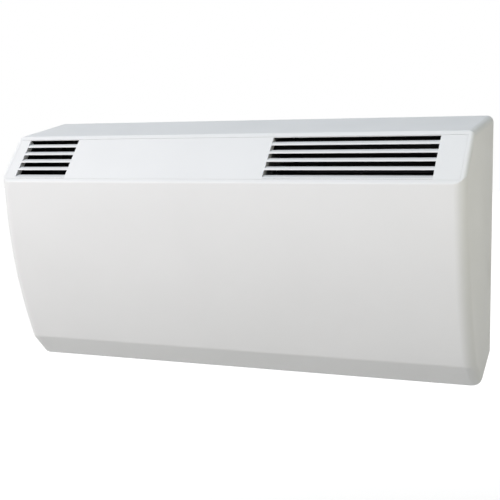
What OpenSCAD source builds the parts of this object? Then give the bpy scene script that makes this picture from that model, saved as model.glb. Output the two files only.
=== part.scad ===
// Wall-hung fan convector heater with a wet-system coil and a cross-flow fan.
// X runs along the wall, Y = 0 is the wall and the front faces -Y, Z is up.
// The origin is the centre of the four wall fixings, on the wall.

/* [Casing] */
// Length of the casing along the wall
casing_length = 700; // [660:5:900]
// Greatest depth, from the wall to the crease under the grille
casing_depth = 164; // [156:1:172]
// Height of the casing's top edge above the wall fixings' centre
casing_top = 180; // [176:1:190]
// Depth of the sloping top, from the wall to its front crease
top_depth = 112; // [108:0.5:120]
// Fall of the sloping top from the wall to its front crease
top_fall = 23.5; // [18:0.5:28]
// Drop from the top edge to the crease under the grille
grille_drop = 91.5; // [90:0.5:98]
// Radius of the bowed front
front_radius = 630; // [550:10:750]
// Lean of the front from upright, just under the grille
front_lean = 4.75; // [2:0.25:6]
// Drop from the top edge to the crease above the lower lip
lip_drop = 333; // [325:1:342]
// Distance from the wall to the keel under the lip
keel_depth = 55; // [49:0.5:58]
// Drop from the top edge to the keel
keel_drop = 367; // [362:1:374]
// Drop from the top edge to the underside's edge at the wall
back_drop = 331; // [326:1:336]
// Wall thickness of the moulded casing
wall = 2.5; // [2:0.1:3]
// Radius along the two creases of the grille face
crease_radius = 3; // [1:0.5:5]
// Radius along the crease above the lower lip
lip_radius = 15; // [8:1:20]
// Radius along the keel
keel_radius = 12; // [6:1:14]
// Radius round both ends of the bowed front
end_radius = 16.5; // [14:0.5:20]
// Radius round both ends of the sloping top
top_end_radius = 9; // [6:0.5:14]
// Radius round both ends of the grille face
grille_end_radius = 6; // [4:0.5:6]
// Radius round both ends of the lower lip
lip_end_radius = 14; // [6:0.5:14]
// Radius round both ends of the underside
under_end_radius = 7; // [4:0.5:12]

/* [Grille panel] */
// Distance from the top crease down to the panel's upper edge
panel_margin = 7; // [5:0.5:8]
// Distance from the panel's lower edge down to the crease under the grille
panel_foot = 6.2; // [5:0.1:8]
// Gap between the casing's end and the panel's end
panel_end_gap = 8; // [8:0.5:12]
// Thickness of the panel
panel_thickness = 2.5; // [2:0.1:3]
// Seam left between the panel and the casing
seam = 0.3; // [0.2:0.1:0.8]
// Width of the ledge that holds the panel behind the casing
ledge_width = 3.5; // [2:0.5:4]
// Thickness of that ledge
ledge_thickness = 1.5; // [1:0.1:2]

/* [Louvres] */
// Distance from the casing's left end to the short louvre group
left_group_gap = 24.5; // [21:0.5:40]
// Width of the short louvre group
left_group_width = 86; // [60:1:110]
// Distance from the casing's right end to the long louvre group
right_group_gap = 43; // [43:1:60]
// Width of the long louvre group
right_group_width = 233; // [200:1:250]
// Number of blades in a group
blade_count = 4; // [3:1:4]
// Thickness of a blade
blade_thickness = 1.8; // [1.6:0.1:2.4]
// Length of a blade from nose to back edge
blade_length = 7; // [6:0.5:10]
// Rise of a blade from its nose to its back edge, in degrees
blade_rise = 20; // [10:1:25]
// Rim of the panel above the first gap
louvre_rim = 0.8; // [0.8:0.1:1.6]
// Thickness of that rim
rim_thickness = 1; // [0.8:0.1:1.4]
// Rim of the panel below the nose of the sill
sill_rim = 1.1; // [0.8:0.1:1.6]
// Thickness of the sill under the last gap
sill_thickness = 1.2; // [1:0.1:1.6]
// Length of the sill from nose to back edge
sill_length = 8.5; // [7:0.5:12]
// Depth of the ribs that carry the blades' ends
rib_depth = 9; // [7:0.5:10]
// Thickness of those ribs
rib_thickness = 2; // [1.5:0.1:2.5]

/* [Back plate] */
// Sheet thickness of the back plate
plate_thickness = 1.5; // [1:0.1:2]
// Gap between the casing's end and the back plate's end
plate_end_gap = 12; // [12:0.5:20]
// Gap between the casing's top edge and the back plate's top edge
plate_top_gap = 10; // [10:0.5:14]
// Gap between the casing's lower back edge and the back plate's lower edge
plate_bottom_gap = 8; // [7:0.5:12]
// Depth of the back plate's folded edges
plate_fold = 14; // [10:1:16]
// Distance between the wall fixings along the wall
fixing_span_x = 560; // [500:10:640]
// Distance between the wall fixings up the wall
fixing_span_z = 210; // [180:5:230]
// Diameter of a wall fixing hole
fixing_hole = 6.5; // [5:0.5:8]
// Distance of the two casing screws from the casing's ends
casing_screw_gap = 52; // [45:1:70]
// Width of the tabs that take the casing screws
tab_width = 26; // [20:1:32]
// Reach of those tabs along the underside
tab_reach = 24; // [20:1:28]
// Slack between pieces that sit side by side
slack = 0.3; // [0.2:0.05:0.5]

/* [Fan] */
// Outer radius of the impeller
fan_radius = 36; // [32:0.5:38]
// Distance from the wall to the impeller's axis
fan_wall = 68; // [64:0.5:72]
// Drop from the casing's top edge to the impeller's axis
fan_drop = 108; // [104:1:114]
// Number of impeller blades
fan_blades = 28; // [16:1:36]
// Radial depth of an impeller blade
fan_blade_depth = 9; // [6:0.5:11]
// Thickness of an impeller blade
fan_blade_thickness = 1; // [0.8:0.1:1.4]
// Thickness of the impeller's discs
disc_thickness = 2; // [1.5:0.1:3]
// Margin of the fan bay past the long louvre group, at each end
bay_margin = 15; // [11:0.5:16]
// Gap between the impeller's ends and the side plates
fan_end_gap = 6; // [5:0.5:9]
// Gap between the impeller and the scroll where the scroll starts
scroll_gap = 3; // [2:0.5:5]
// Growth of the scroll's radius for each radian
scroll_growth = 0.142; // [0.1:0.002:0.16]
// Gap between the impeller and the tongue of the deflector
tongue_gap = 4; // [3:0.5:6]
// Thickness of the sheet-metal ducts and side plates
sheet = 1.2; // [0.8:0.1:1.6]
// Distance that the side plates stay inside the casing's outline
side_plate_inset = 12; // [11.5:0.5:14]
// Width of the side plates' back flanges
side_flange = 11; // [9:0.5:12]
// Radius of the motor shaft
shaft_radius = 4; // [3:0.5:5]
// Radius of the idler pin at the right end
pin_radius = 3; // [2.5:0.5:4]
// Radial clearance of a shaft that turns in a bore
running_fit = 0.05; // [0.02:0.01:0.1]
// Radial clearance of a piece fixed in or round another
fixed_fit = 0.05; // [0.02:0.01:0.1]

/* [Motor] */
// Radius of the motor's can
motor_radius = 30; // [26:1:32]
// Length of the motor's can
motor_length = 44; // [36:1:60]
// Radius of the motor bracket
bracket_radius = 45; // [44:0.5:48]
// Radius at which the rubber mounts sit
mount_ring = 38; // [37:0.5:40]
// Length of a rubber mount
mount_length = 8; // [6:0.5:10]
// Radius of a rubber mount
mount_radius = 5; // [4.5:0.5:6]

/* [Heat exchanger] */
// Outer radius of a coil tube
tube_radius = 4.76; // [4:0.02:5]
// Distance between tubes front to back
tube_pitch_y = 25; // [24:0.5:26]
// Distance between tube rows, up and down
tube_pitch_z = 22; // [20:0.5:24]
// Distance from fin to fin
fin_pitch = 5; // [4:0.5:8]
// Thickness of a fin
fin_thickness = 0.4; // [0.3:0.05:0.6]
// Gap between the wall and the coil's back
coil_wall_gap = 15; // [14:0.5:17]
// Gap between the impeller and the coil's top
coil_fan_gap = 24; // [20:1:28]
// Thickness of the foam seal at the coil's front
seal_thickness = 4; // [3:0.5:5]
// Straight stub of tube between an end plate and a return bend
bend_stub = 4; // [3:0.5:5]

/* [Pipework] */
// Outer radius of the flow and return tails
tail_radius = 7.5; // [7:0.5:8]
// Bore radius of the tails
tail_bore = 6.8; // [6:0.1:6.9]
// Centre-line radius of a tail's bend
tail_bend = 22; // [18:1:30]
// Distance from the fan bay to the flow tail's upright
flow_reach = 190; // [185:1:200]
// Distance from the fan bay to the return tail's upright
return_reach = 140; // [130:1:144]
// Height of the tails' open ends above the casing's lower back edge
tail_end_height = 5; // [2:0.5:10]
// Width of the pipe opening past the tails, at each side
pipe_margin = 25; // [22:1:30]
// Depth of the pipe opening, along the underside
pipe_opening = 50; // [48:0.5:51]
// Height of the pipes' rear entry in the back plate
rear_entry = 50; // [40:1:60]
// Distance from the fan bay to the air vent
vent_reach = 34; // [32:1:40]
// Distance from the fan bay to the pipe thermostat
thermostat_reach = 62; // [60:1:70]
// Distance from a tail's bend to its pipe clip
clip_reach = 22; // [14:1:24]

/* [Controls] */
// Distance from the casing's left end to the control box
box_end_gap = 28; // [26:1:36]
// Width of the control box along the wall
box_width = 84; // [80:1:110]
// Depth of the control box
box_depth = 60; // [56:1:66]
// Height of the control box
box_height = 120; // [112:2:150]
// Sheet thickness of the control box
box_sheet = 1; // [0.8:0.1:1.4]
// Distance from the wall to the switches' centre line
switch_wall = 55; // [45:1:70]
// Height of the lower switch above the fixings' centre
switch_height = 30; // [20:1:50]
// Distance between the two switches
switch_pitch = 32; // [26:1:40]
// Width of a switch's rim
switch_width = 15; // [15:0.5:18]
// Height of a switch's rim
switch_rim_height = 22; // [22:0.5:26]
// Tilt of a rocker from level in either position, in degrees
rocker_tilt = 9; // [6:1:10]
// Radius of the motor's lead
lead_radius = 2.5; // [2:0.25:3.5]
// Bore radius of the cable grommet in the back plate
grommet_bore = 5; // [4:0.5:6]

/* [Filter] */
// Distance from the wall to the filter's back edge
filter_wall = 10; // [9:0.5:12]
// Width of the filter opening, wall to front
filter_width = 31; // [26:0.5:31]
// Height of the filter's frame
filter_height = 6; // [4:0.5:8]
// Width of the filter frame's border
filter_border = 4; // [3:0.5:5]
// Number of cells in the filter's frame
filter_cells = 9; // [5:1:12]
// Thickness of the filter net
net_thickness = 0.5; // [0.4:0.1:0.8]
// Distance from thread to thread in the net
net_pitch = 6; // [5.5:0.5:8]
// Width of a thread in the net
net_thread = 1; // [0.6:0.1:1.5]

/* [Hidden] */
$fn = 48;

// Extra reach of a cutting tool past the surface that it cuts
over = 1;
// Smallest radius that an inset corner keeps
least_radius = 0.5;
// Straight pieces in each rounded crease, in the keel, in the front and in the two parts of an end
crease_steps = 4;
keel_steps = 8;
front_steps = 20;
bow_steps = 4;
end_steps = 6;

// Small plane-vector helpers for outlines in the YZ plane
function unit(v) = v / norm(v);
function left(u) = [-u[1], u[0]];
function cross2(a, b) = a[0] * b[1] - a[1] * b[0];
function meet(p, u, q, v) = p + u * cross2(q - p, v) / cross2(u, v);
function spin(v, a) = [v[0] * cos(a) - v[1] * sin(a), v[0] * sin(a) + v[1] * cos(a)];
function polar(r, a) = [r * cos(a), r * sin(a)];

// Corners of the side profile, [y, z], anticlockwise from the top edge at the wall
top_back = [0, casing_top];
top_crease = [-top_depth, casing_top - top_fall];
front_crease = [-casing_depth, casing_top - grille_drop];
front_centre = front_crease + polar(front_radius, front_lean);
lip_angle = asin((front_centre[1] - casing_top + lip_drop) / front_radius);
lip_crease = front_centre - polar(front_radius, lip_angle);
keel = [-keel_depth, casing_top - keel_drop];
under_back = [0, casing_top - back_drop];
u_top = unit(top_crease - top_back);
u_grille = unit(front_crease - top_crease);
u_lip = unit(keel - lip_crease);
u_under = unit(under_back - keel);
under_slope = u_under[1] / u_under[0];
under_angle = atan(under_slope);
grille_tilt = atan2(-u_grille[1], -u_grille[0]);

// Arc of n steps that rounds the corner p between the ways u and v
function fillet(p, u, v, r, n) =
  let (turn = atan2(cross2(u, v), u * v),
       centre = p - u * r * tan(turn / 2) + left(u) * r)
  [for (k = [0:n]) centre - spin(left(u), turn * k / n) * r];

// Where a line leaves (side 1) or enters (side -1) the circle of the front
function on_front(p, u, r, side) =
  let (s = (front_centre - p) * u, away = norm(p + u * s - front_centre))
  p + u * (s + side * sqrt(r * r - away * away));

// The side profile, cut off at the plane y = back. Its top, grille face, bowed front, lip and underside
// are moved inwards by the five distances d.
function outline(d, back) =
  let (r = front_radius - d[2],
       p_top = top_back + left(u_top) * d[0],
       p_grille = top_crease + left(u_grille) * d[1],
       p_lip = lip_crease + left(u_lip) * d[3],
       p_under = keel + left(u_under) * d[4],
       a = meet(p_top, u_top, p_grille, u_grille),
       b = on_front(p_grille, u_grille, r, 1),
       c = on_front(p_lip, u_lip, r, -1),
       k = meet(p_lip, u_lip, p_under, u_under),
       ang_b = asin((front_centre[1] - b[1]) / r),
       ang_c = asin((front_centre[1] - c[1]) / r))
  concat(
    [meet(p_top, u_top, [back, 0], [0, 1])],
    fillet(a, u_top, u_grille, max(crease_radius - d[1], least_radius), crease_steps),
    fillet(b, u_grille, -left(polar(1, ang_b)), max(crease_radius - d[1], least_radius), crease_steps),
    [for (i = [1:front_steps - 1])
      front_centre - polar(r, ang_b + (ang_c - ang_b) * i / front_steps)],
    fillet(c, -left(polar(1, ang_c)), u_lip, max(lip_radius - d[3], least_radius), crease_steps),
    fillet(k, u_lip, u_under, max(keel_radius - d[4], least_radius), keel_steps),
    [meet(p_under, u_under, [back, 0], [0, 1])]);

// Height of the casing's inner top face and of its outer underside at the depth y
function inner_top(y) = meet(top_back + left(u_top) * wall, u_top, [y, 0], [0, 1])[1];
function under_z(y) = under_back[1] + y * under_slope;

// Solid through a row of rings that all have the same number of points
module skin(rings) {
  n = len(rings[0]);
  last = len(rings) - 1;
  sides = [for (i = [0:last - 1]) for (j = [0:n - 1])
    let (a = i * n + j, b = i * n + (j + 1) % n)
    each [[a, a + n, b + n], [a, b + n, b]]];
  first_cap = [for (j = [0:n - 1]) j];
  last_cap = [for (j = [n - 1:-1:0]) last * n + j];
  polyhedron([for (ring = rings) each ring], concat(sides, [first_cap, last_cap]), convexity = 4);
}

// Fall of an arc of radius r below its tangent, at the distance t along the tangent
function arc_fall(t, r) = r - sqrt(r * r - pow(max(t, 0), 2));

// Solid of the profile with rounded ends, inset from the casing's outside.
// Each face turns into an end with its own radius, the front with the greatest.
module profile_loft(inset, back) {
  half = casing_length / 2 - inset;
  radii = [top_end_radius, grille_end_radius, end_radius, lip_end_radius, under_end_radius];
  r = max(radii) - inset;
  q = min(radii) - inset;
  reach = concat([for (k = [0:bow_steps - 1]) (r - q) * k / bow_steps],
                 [for (k = [0:end_steps]) r - q + q * sin(90 * k / end_steps)]);
  n = len(reach) - 1;
  reaches = concat([for (k = [n:-1:0]) [-1, reach[k]]], [for (t = reach) [1, t]]);
  skin([for (m = reaches)
    [for (p = outline([for (w = radii) inset + arc_fall(m[1] - r + w - inset, w - inset)], back))
      [m[0] * (half - r + m[1]), p[0], p[1]]]]);
}

// Extrudes a shape drawn in the YZ plane from x0 to x1
module along_x(x0, x1) {
  translate([x0, 0, 0])
    rotate([90, 0, 90])
      linear_extrude(x1 - x0) children();
}

// Grille face: x along the casing, y up the slope from the top crease, z outwards
module on_grille() {
  translate([0, top_crease[0], top_crease[1]])
    rotate([grille_tilt, 0, 0]) children();
}
function from_grille(s, n) = top_crease + u_grille * s - left(u_grille) * n;

// Underside: x along the casing, y from the wall towards the keel, z outwards
module on_underside() {
  translate([0, under_back[0], under_back[1]])
    rotate([180 + under_angle, 0, 0]) children();
}

// Left end: x towards the front, y up, z outwards
module on_left_end(y, z) {
  translate([-casing_length / 2, y, z])
    rotate([90, 0, -90]) children();
}

// Turns a piece so that its z axis points away from the wall
module facing_wall(x, y, z) {
  translate([x, y, z])
    rotate([90, 0, 0]) children();
}

// Round piece along the X axis, from x0 to x1
module rod_x(x0, x1, y, z, r) {
  translate([x0, y, z])
    rotate([0, 90, 0])
      cylinder(r = r, h = x1 - x0);
}

// Sheet of thickness t to the right of a path
function band(path, t) =
  let (n = len(path),
       ways = [for (i = [0:n - 2]) left(unit(path[i + 1] - path[i]))],
       mitre = [for (i = [0:n - 1])
         let (a = ways[max(i - 1, 0)], b = ways[min(i, n - 2)]) (a + b) / (1 + a * b)])
  concat(path, [for (i = [n - 1:-1:0]) path[i] - mitre[i] * t]);

// Panel height and blade pitch, measured down the slope
panel_height = norm(front_crease - top_crease) - panel_margin - panel_foot;
blade_pitch = (panel_height - louvre_rim - sill_rim) / (blade_count + 1);
blade_slant = grille_tilt - blade_rise;
blade_nose = blade_thickness / sin(blade_slant);
louvre_top = panel_margin + louvre_rim;
sill_nose = sill_thickness / sin(blade_slant);
louvre_height = (blade_count + 1) * blade_pitch - sill_nose;
left_group = [-casing_length / 2 + left_group_gap, -casing_length / 2 + left_group_gap + left_group_width];
right_group = [casing_length / 2 - right_group_gap - right_group_width, casing_length / 2 - right_group_gap];
panel_half = casing_length / 2 - panel_end_gap;
ledge_half = panel_half - end_radius;

// Back plate edges
plate_half = casing_length / 2 - plate_end_gap;
plate_top = casing_top - plate_top_gap;
plate_bottom = under_back[1] + plate_bottom_gap;
hook_y = -plate_thickness - plate_fold;

// Ribs inside the casing's top that drop behind the back plate's lip
hang_ribs = 6;
hang_rib_width = 20;
hang_rib_thickness = 3;
hang_rib_y = hook_y + plate_thickness + slack;
hang_rib_span = plate_half - end_radius - hang_rib_width;

// Fan bay
bay_left = right_group[0] - bay_margin;
bay_right = right_group[1] + bay_margin;
fan_y = -fan_wall;
fan_z = casing_top - fan_drop;
fan_axis = [fan_y, fan_z];
impeller_left = bay_left + fan_end_gap;
impeller_right = bay_right - fan_end_gap;
hub_length = 10;
hub_wall = 4;
hub_clearance = 2;
ring_web = 3.6;
shaft_overhang = 4;
bush_radius = 12;
bush_flange = 3;
bearing_radius = 7;
bearing_overhang = 2;
duct_clearance = 2;
duct_gap = rib_depth + duct_clearance;
scroll_start = -40;
scroll_end = 74;
scroll_steps = 24;
scroll_lip_drop = 6;

// Heat exchanger
tube_columns = 4;
tube_rows = 2;
coil_depth = tube_columns * tube_pitch_y;
coil_height = tube_rows * tube_pitch_z;
coil_top = fan_z - fan_radius - coil_fan_gap;
coil_bottom = coil_top - coil_height;
coil_back = -coil_wall_gap;
coil_front = coil_back - coil_depth;
end_plate_rim = 4;
function column_y(c) = coil_back - tube_pitch_y * (c + 0.5);
function row_z(r) = coil_top - tube_pitch_z * (r + 0.5);

// Pipework
tail_y = column_y(0);
tail_gap = 8;
tail_start = bay_left - bend_stub - tail_gap;
tail_cup = 12;
flow_x = bay_left - flow_reach;
return_x = bay_left - return_reach;
tail_end = under_back[1] + tail_end_height;
rear_entry_rise = 10;
vent_x = bay_left - vent_reach;
thermostat_x = bay_left - thermostat_reach;
clip_wall = 1.5;
clip_width = 12;
flow_clip_x = flow_x + tail_bend + clip_reach;
return_clip_x = return_x + tail_bend + clip_reach;

// Motor
bracket_thickness = 1.5;
bracket_rim = 2;
bracket_x = bay_left - sheet - mount_length - bracket_thickness;
motor_x = bracket_x - motor_length;
screw_radius = 2;
screw_head = 4;
screw_head_height = 2.4;
mount_angles = [90, 210, 330];

// Controls
box_left = -casing_length / 2 + box_end_gap;
box_right = box_left + box_width;
box_back = -plate_thickness;
box_front = box_back - box_depth;
box_bottom = -box_height / 2;
gland_x = box_left + box_width / 2;
gland_y = box_back - box_depth / 2;
gland_radius = 8;
grommet_groove = 2;
grommet_flange = 2.5;
grommet_drop = 32;
grommet_shift = 32;
grommet_x = gland_x + grommet_shift;
grommet_z = box_bottom - grommet_drop;
lid_screw_length = 6;
lid_screw_margin = 10;
box_margin = 8;
board_rise = 44;
capacitor_radius = 10;
terminal_ways = 5;
terminal_pitch = 9;
terminal_rise = 14;
terminal_depth = 14;
terminal_height = 20;

// Motor lead
lead_inset = 14;
lead_lift = 7;
lead_drop = 15;
lead_tail = 6;
lead_ease = 2 / 3;
lead_steps = 20;
lead_sides = 12;
lead_x = motor_x + lead_inset;
lead_y = -plate_thickness - lead_lift;
lead_z = box_bottom + box_height - lead_drop;
lead_clip_reach = 45;
lead_clip_x = box_right + lead_clip_reach;

// Switches, in the left end's own axes
switch_rim = 1.5;
switch_flange = [1.05, 0.9];
switch_depth = 17;
switch_body = [switch_width - 2 * switch_flange[0], switch_rim_height - 2 * switch_flange[1], switch_depth];
switch_side = 1.2;
rocker_pivot = -2.5;
rocker_pin = 1;
rocker_swing = 1.5;
rocker_width = switch_body[0] - 2 * (switch_side + slack);
rocker_half = switch_body[1] / 2 - switch_side - rocker_swing;

// Distance along the underside at which the casing screws sit
screw_reach = 14;
// Slack between the casing's underside and the tabs that it is screwed to
tab_slack = 0.1;
// Reach of a casing screw past the underside's inner face
screw_grip = 4.5;
casing_screw_x = casing_length / 2 - casing_screw_gap;

// Filter, under the fan bay
filter_edges = [under_z(-filter_wall), under_z(-filter_wall - filter_width)];
filter_low = min(filter_edges);
filter_high = max(filter_edges);
finger_tab = 30;
finger_drop = 6;
filter_left = bay_left;
filter_right = casing_screw_x - tab_width / 2 - filter_border;

module casing() {
  color("white") {
    difference() {
      profile_loft(0, 0);
      profile_loft(wall, over);
      // Opening for the grille panel
      on_grille()
        translate([-panel_half - seam, -panel_margin - panel_height - seam, -wall - over])
          cube([2 * (panel_half + seam), panel_height + 2 * seam, wall + 2 * over]);
      // Upright opening that the filter drops through
      translate([filter_left - slack, -filter_wall - filter_width - slack, filter_low - over])
        cube([filter_right - filter_left + 2 * slack, filter_width + 2 * slack,
              filter_high - filter_low + filter_height + 2 * over]);
      // Opening at the wall for the pipes
      on_underside()
        translate([flow_x - pipe_margin, -over, -2 * wall])
          cube([return_x - flow_x + 2 * pipe_margin, pipe_opening + over, 2 * wall + over]);
      // Square holes for the two switches
      for (i = [0, 1])
        on_left_end(-switch_wall, switch_height + i * switch_pitch)
          translate([-switch_body[0] / 2 - slack, -switch_body[1] / 2 - slack, -wall - over])
            cube([switch_body[0] + 2 * slack, switch_body[1] + 2 * slack, wall + 2 * over]);
      for (side = [-1, 1])
        on_underside()
          translate([side * casing_screw_x, screw_reach, -wall - over])
            cylinder(r = screw_radius + slack, h = wall + 2 * over);
    }
    for (i = [0:hang_ribs - 1])
      translate([hang_rib_span * (2 * i / (hang_ribs - 1) - 1) - hang_rib_width / 2, hang_rib_y,
                 plate_top + slack])
        cube([hang_rib_width, hang_rib_thickness, inner_top(hang_rib_y) + wall / 2 - plate_top - slack]);
  }
}

// Slanted blade whose nose ends at the distance s down the slope
module louvre_blade(group, s, nose, length) {
  back = length * [cos(blade_slant), -sin(blade_slant)];
  foot = [-s, 0];
  along_x(group[0], group[1])
    polygon([foot + [nose, 0], foot, foot + back, foot + [nose, 0] + back]);
}

// Ledge behind the casing's wall, with the web that joins it to the panel
module panel_ledge(x0, x1, ledge_y, web_y) {
  translate([x0, ledge_y, -wall - slack - ledge_thickness])
    cube([x1 - x0, ledge_width + panel_thickness, ledge_thickness]);
  translate([x0, web_y, -wall - slack - ledge_thickness])
    cube([x1 - x0, louvre_rim, ledge_thickness + slack + panel_thickness / 2]);
}

module grille_panel() {
  color("white")
    on_grille() {
      difference() {
        translate([-panel_half, -panel_margin - panel_height, -panel_thickness])
          cube([2 * panel_half, panel_height, panel_thickness]);
        for (group = [left_group, right_group])
          translate([group[0], -louvre_top - louvre_height, -panel_thickness - over])
            cube([group[1] - group[0], louvre_height, panel_thickness + 2 * over]);
        // Back of the rim above a group, thinned so that the first gap shows as deep as the others
        for (group = [left_group, right_group])
          translate([group[0], -louvre_top, -panel_thickness - over])
            cube([group[1] - group[0], louvre_rim + over, panel_thickness - rim_thickness + over]);
      }
      for (group = [left_group, right_group]) {
        for (i = [1:blade_count])
          louvre_blade(group, louvre_top + i * blade_pitch, blade_nose, blade_length);
        louvre_blade(group, louvre_top + louvre_height + sill_nose, sill_nose, sill_length);
        for (x = [group[0] - rib_thickness, group[1]])
          translate([x, -panel_margin - panel_height + slack, -rib_depth])
            cube([rib_thickness, panel_height - 2 * slack, rib_depth - panel_thickness / 2]);
      }
      // The lower ledge runs along the panel, the upper one only beside the louvre groups
      panel_ledge(-ledge_half, ledge_half, -panel_margin - panel_height - ledge_width,
                  -panel_margin - panel_height);
      for (span = [[left_group[1] + rib_thickness, right_group[0] - rib_thickness],
                   [right_group[1] + rib_thickness, ledge_half]])
        panel_ledge(span[0], span[1], -panel_margin - panel_thickness, -panel_margin - panel_thickness / 2);
    }
}

module back_plate() {
  tab_y = -plate_thickness / 2;
  tab_corner = [tab_y, under_z(tab_y) + (wall + tab_slack) / cos(under_angle)];
  color("lightgray") {
    difference() {
      translate([-plate_half, -plate_thickness, plate_bottom])
        cube([2 * plate_half, plate_thickness, plate_top - plate_bottom]);
      for (sx = [-1, 1], sz = [-1, 1])
        facing_wall(sx * fixing_span_x / 2, over, sz * fixing_span_z / 2)
          cylinder(d = fixing_hole, h = plate_thickness + 2 * over);
      // Rear entry for the pipes
      translate([flow_x - pipe_margin, -plate_thickness - over, tail_end + rear_entry_rise])
        cube([return_x - flow_x + 2 * pipe_margin, plate_thickness + 2 * over, rear_entry]);
      facing_wall(grommet_x, over, grommet_z)
        cylinder(r = grommet_bore + 2 * grommet_groove, h = plate_thickness + 2 * over);
      for (x = side_screw_x(), z = side_screw_z())
        facing_wall(x, over, z)
          cylinder(r = screw_radius + slack, h = plate_thickness + 2 * over);
    }
    // Folded edges: the ends, and the top with the lip that the casing hangs on
    for (x = [-plate_half, plate_half - plate_thickness])
      translate([x, hook_y, plate_bottom])
        cube([plate_thickness, plate_fold + plate_thickness / 2, plate_top - plate_bottom]);
    translate([-plate_half, hook_y, plate_top - plate_thickness])
      cube([2 * plate_half, plate_fold + plate_thickness / 2, plate_thickness]);
    translate([-plate_half + end_radius, hook_y, plate_top - plate_thickness])
      cube([2 * (plate_half - end_radius), plate_thickness,
            inner_top(hook_y) - slack - plate_top + plate_thickness]);
    // Folded tabs that lie on the casing's underside and take its screws
    for (side = [-1, 1])
      difference() {
        along_x(side * casing_screw_x - tab_width / 2, side * casing_screw_x + tab_width / 2)
          polygon(band([[tab_y, plate_bottom + plate_fold], tab_corner, tab_corner - u_under * tab_reach],
                       plate_thickness));
        on_underside()
          translate([side * casing_screw_x, screw_reach, -wall - plate_thickness - over])
            cylinder(r = screw_radius + fixed_fit, h = plate_thickness + 2 * over);
      }
  }
}

// Screws that hold the side plates' flanges to the back plate
function side_screw_x() = [bay_left - sheet - side_flange / 2, bay_right + sheet + side_flange / 2];
function side_screw_z() = [coil_bottom, fan_z + fan_radius];

// Outline of a side plate: the casing's profile moved inwards, above the coil's underside
module side_plate_shape() {
  difference() {
    intersection() {
      polygon(outline([for (k = [1:5]) side_plate_inset], -plate_thickness));
      translate([-casing_depth, coil_bottom - 2 * end_plate_rim])
        square([casing_depth, casing_top - coil_bottom + 2 * end_plate_rim]);
    }
    // The return bends pass through here
    translate([coil_front + end_plate_rim, coil_bottom + end_plate_rim])
      square([coil_depth - 2 * end_plate_rim, coil_height - 2 * end_plate_rim]);
  }
}

module side_flange_strip(x0) {
  difference() {
    translate([x0, -plate_thickness - sheet, coil_bottom - 2 * end_plate_rim])
      cube([side_flange, sheet, fan_z + fan_radius + 2 * side_flange - coil_bottom]);
    for (x = side_screw_x(), z = side_screw_z())
      facing_wall(x, -plate_thickness + over, z)
        cylinder(r = screw_radius + fixed_fit, h = sheet + 2 * over);
  }
}

module left_side_plate() {
  color("silver") {
    along_x(bay_left - sheet, bay_left)
      difference() {
        side_plate_shape();
        translate(fan_axis)
          circle(r = shaft_radius + hub_wall + hub_clearance);
        for (a = mount_angles)
          translate(fan_axis + polar(mount_ring, a))
            circle(r = screw_radius + fixed_fit);
      }
    side_flange_strip(bay_left - sheet - side_flange);
  }
}

module right_side_plate() {
  color("silver") {
    along_x(bay_right, bay_right + sheet)
      difference() {
        side_plate_shape();
        translate(fan_axis)
          circle(r = bush_radius + fixed_fit);
      }
    side_flange_strip(bay_right + sheet);
  }
}

// Spiral that opens from the back of the impeller, then runs straight to the grille
module fan_scroll() {
  lip = fan_axis + polar(fan_radius + scroll_gap, scroll_start);
  spiral = [for (i = [0:scroll_steps])
    let (a = scroll_start + (scroll_end - scroll_start) * i / scroll_steps)
    fan_axis + polar((fan_radius + scroll_gap) * exp(scroll_growth * (a - scroll_start) * PI / 180), a)];
  path = concat([[-plate_thickness - sheet - slack, lip[1] - scroll_lip_drop]], spiral,
                [from_grille(panel_margin, -duct_gap)]);
  color("dimgray")
    along_x(bay_left + slack, bay_right - slack)
      polygon(band(path, sheet));
}

// Folded sheet: outlet floor, tongue beside the impeller, front of the coil
module front_deflector() {
  tongue = fan_axis - [fan_radius + tongue_gap, 0];
  coil_face = coil_front - seal_thickness - slack;
  path = [from_grille(panel_margin + panel_height, -duct_gap), tongue,
          [coil_face, coil_top + end_plate_rim], [coil_face, coil_bottom - end_plate_rim]];
  color("dimgray")
    along_x(bay_left + slack, bay_right - slack)
      polygon(band(path, sheet));
}

// One impeller blade: an arc band between two radii, curved towards the way it turns
module fan_blade_shape() {
  inner = fan_radius - fan_blade_depth;
  steps = 4;
  sweep = 20;
  arc = [for (i = [0:steps])
    polar(inner + fan_blade_depth * i / steps, sweep * pow(i / steps, 2))];
  polygon(band(arc, fan_blade_thickness));
}

module impeller() {
  color("black") {
    along_x(impeller_left, impeller_right)
      translate(fan_axis)
        for (i = [0:fan_blades - 1])
          rotate(360 * i / fan_blades)
            intersection() {
              fan_blade_shape();
              circle(r = fan_radius - slack);
            }
    middle = (impeller_left + impeller_right) / 2;
    difference() {
      union() {
        rod_x(impeller_left, impeller_left + disc_thickness, fan_y, fan_z, fan_radius);
        rod_x(impeller_left, impeller_left + hub_length, fan_y, fan_z, shaft_radius + hub_wall);
      }
      rod_x(impeller_left - over, impeller_left + hub_length + over, fan_y, fan_z, shaft_radius + fixed_fit);
    }
    difference() {
      union() {
        rod_x(impeller_right - disc_thickness, impeller_right, fan_y, fan_z, fan_radius);
        rod_x(impeller_right - hub_length, impeller_right, fan_y, fan_z, pin_radius + hub_wall);
      }
      rod_x(impeller_right - hub_length - over, impeller_right + over, fan_y, fan_z, pin_radius + fixed_fit);
    }
    difference() {
      rod_x(middle - disc_thickness / 2, middle + disc_thickness / 2, fan_y, fan_z, fan_radius);
      rod_x(middle - disc_thickness, middle + disc_thickness, fan_y, fan_z,
            fan_radius - fan_blade_depth - ring_web);
    }
  }
}

module motor_shaft() {
  color("silver")
    rod_x(motor_x - shaft_overhang, impeller_left + hub_length, fan_y, fan_z, shaft_radius);
}

module idler_pin() {
  color("silver")
    rod_x(impeller_right - hub_length, bay_right + sheet + bearing_overhang + bush_flange,
          fan_y, fan_z, pin_radius);
}

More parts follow.
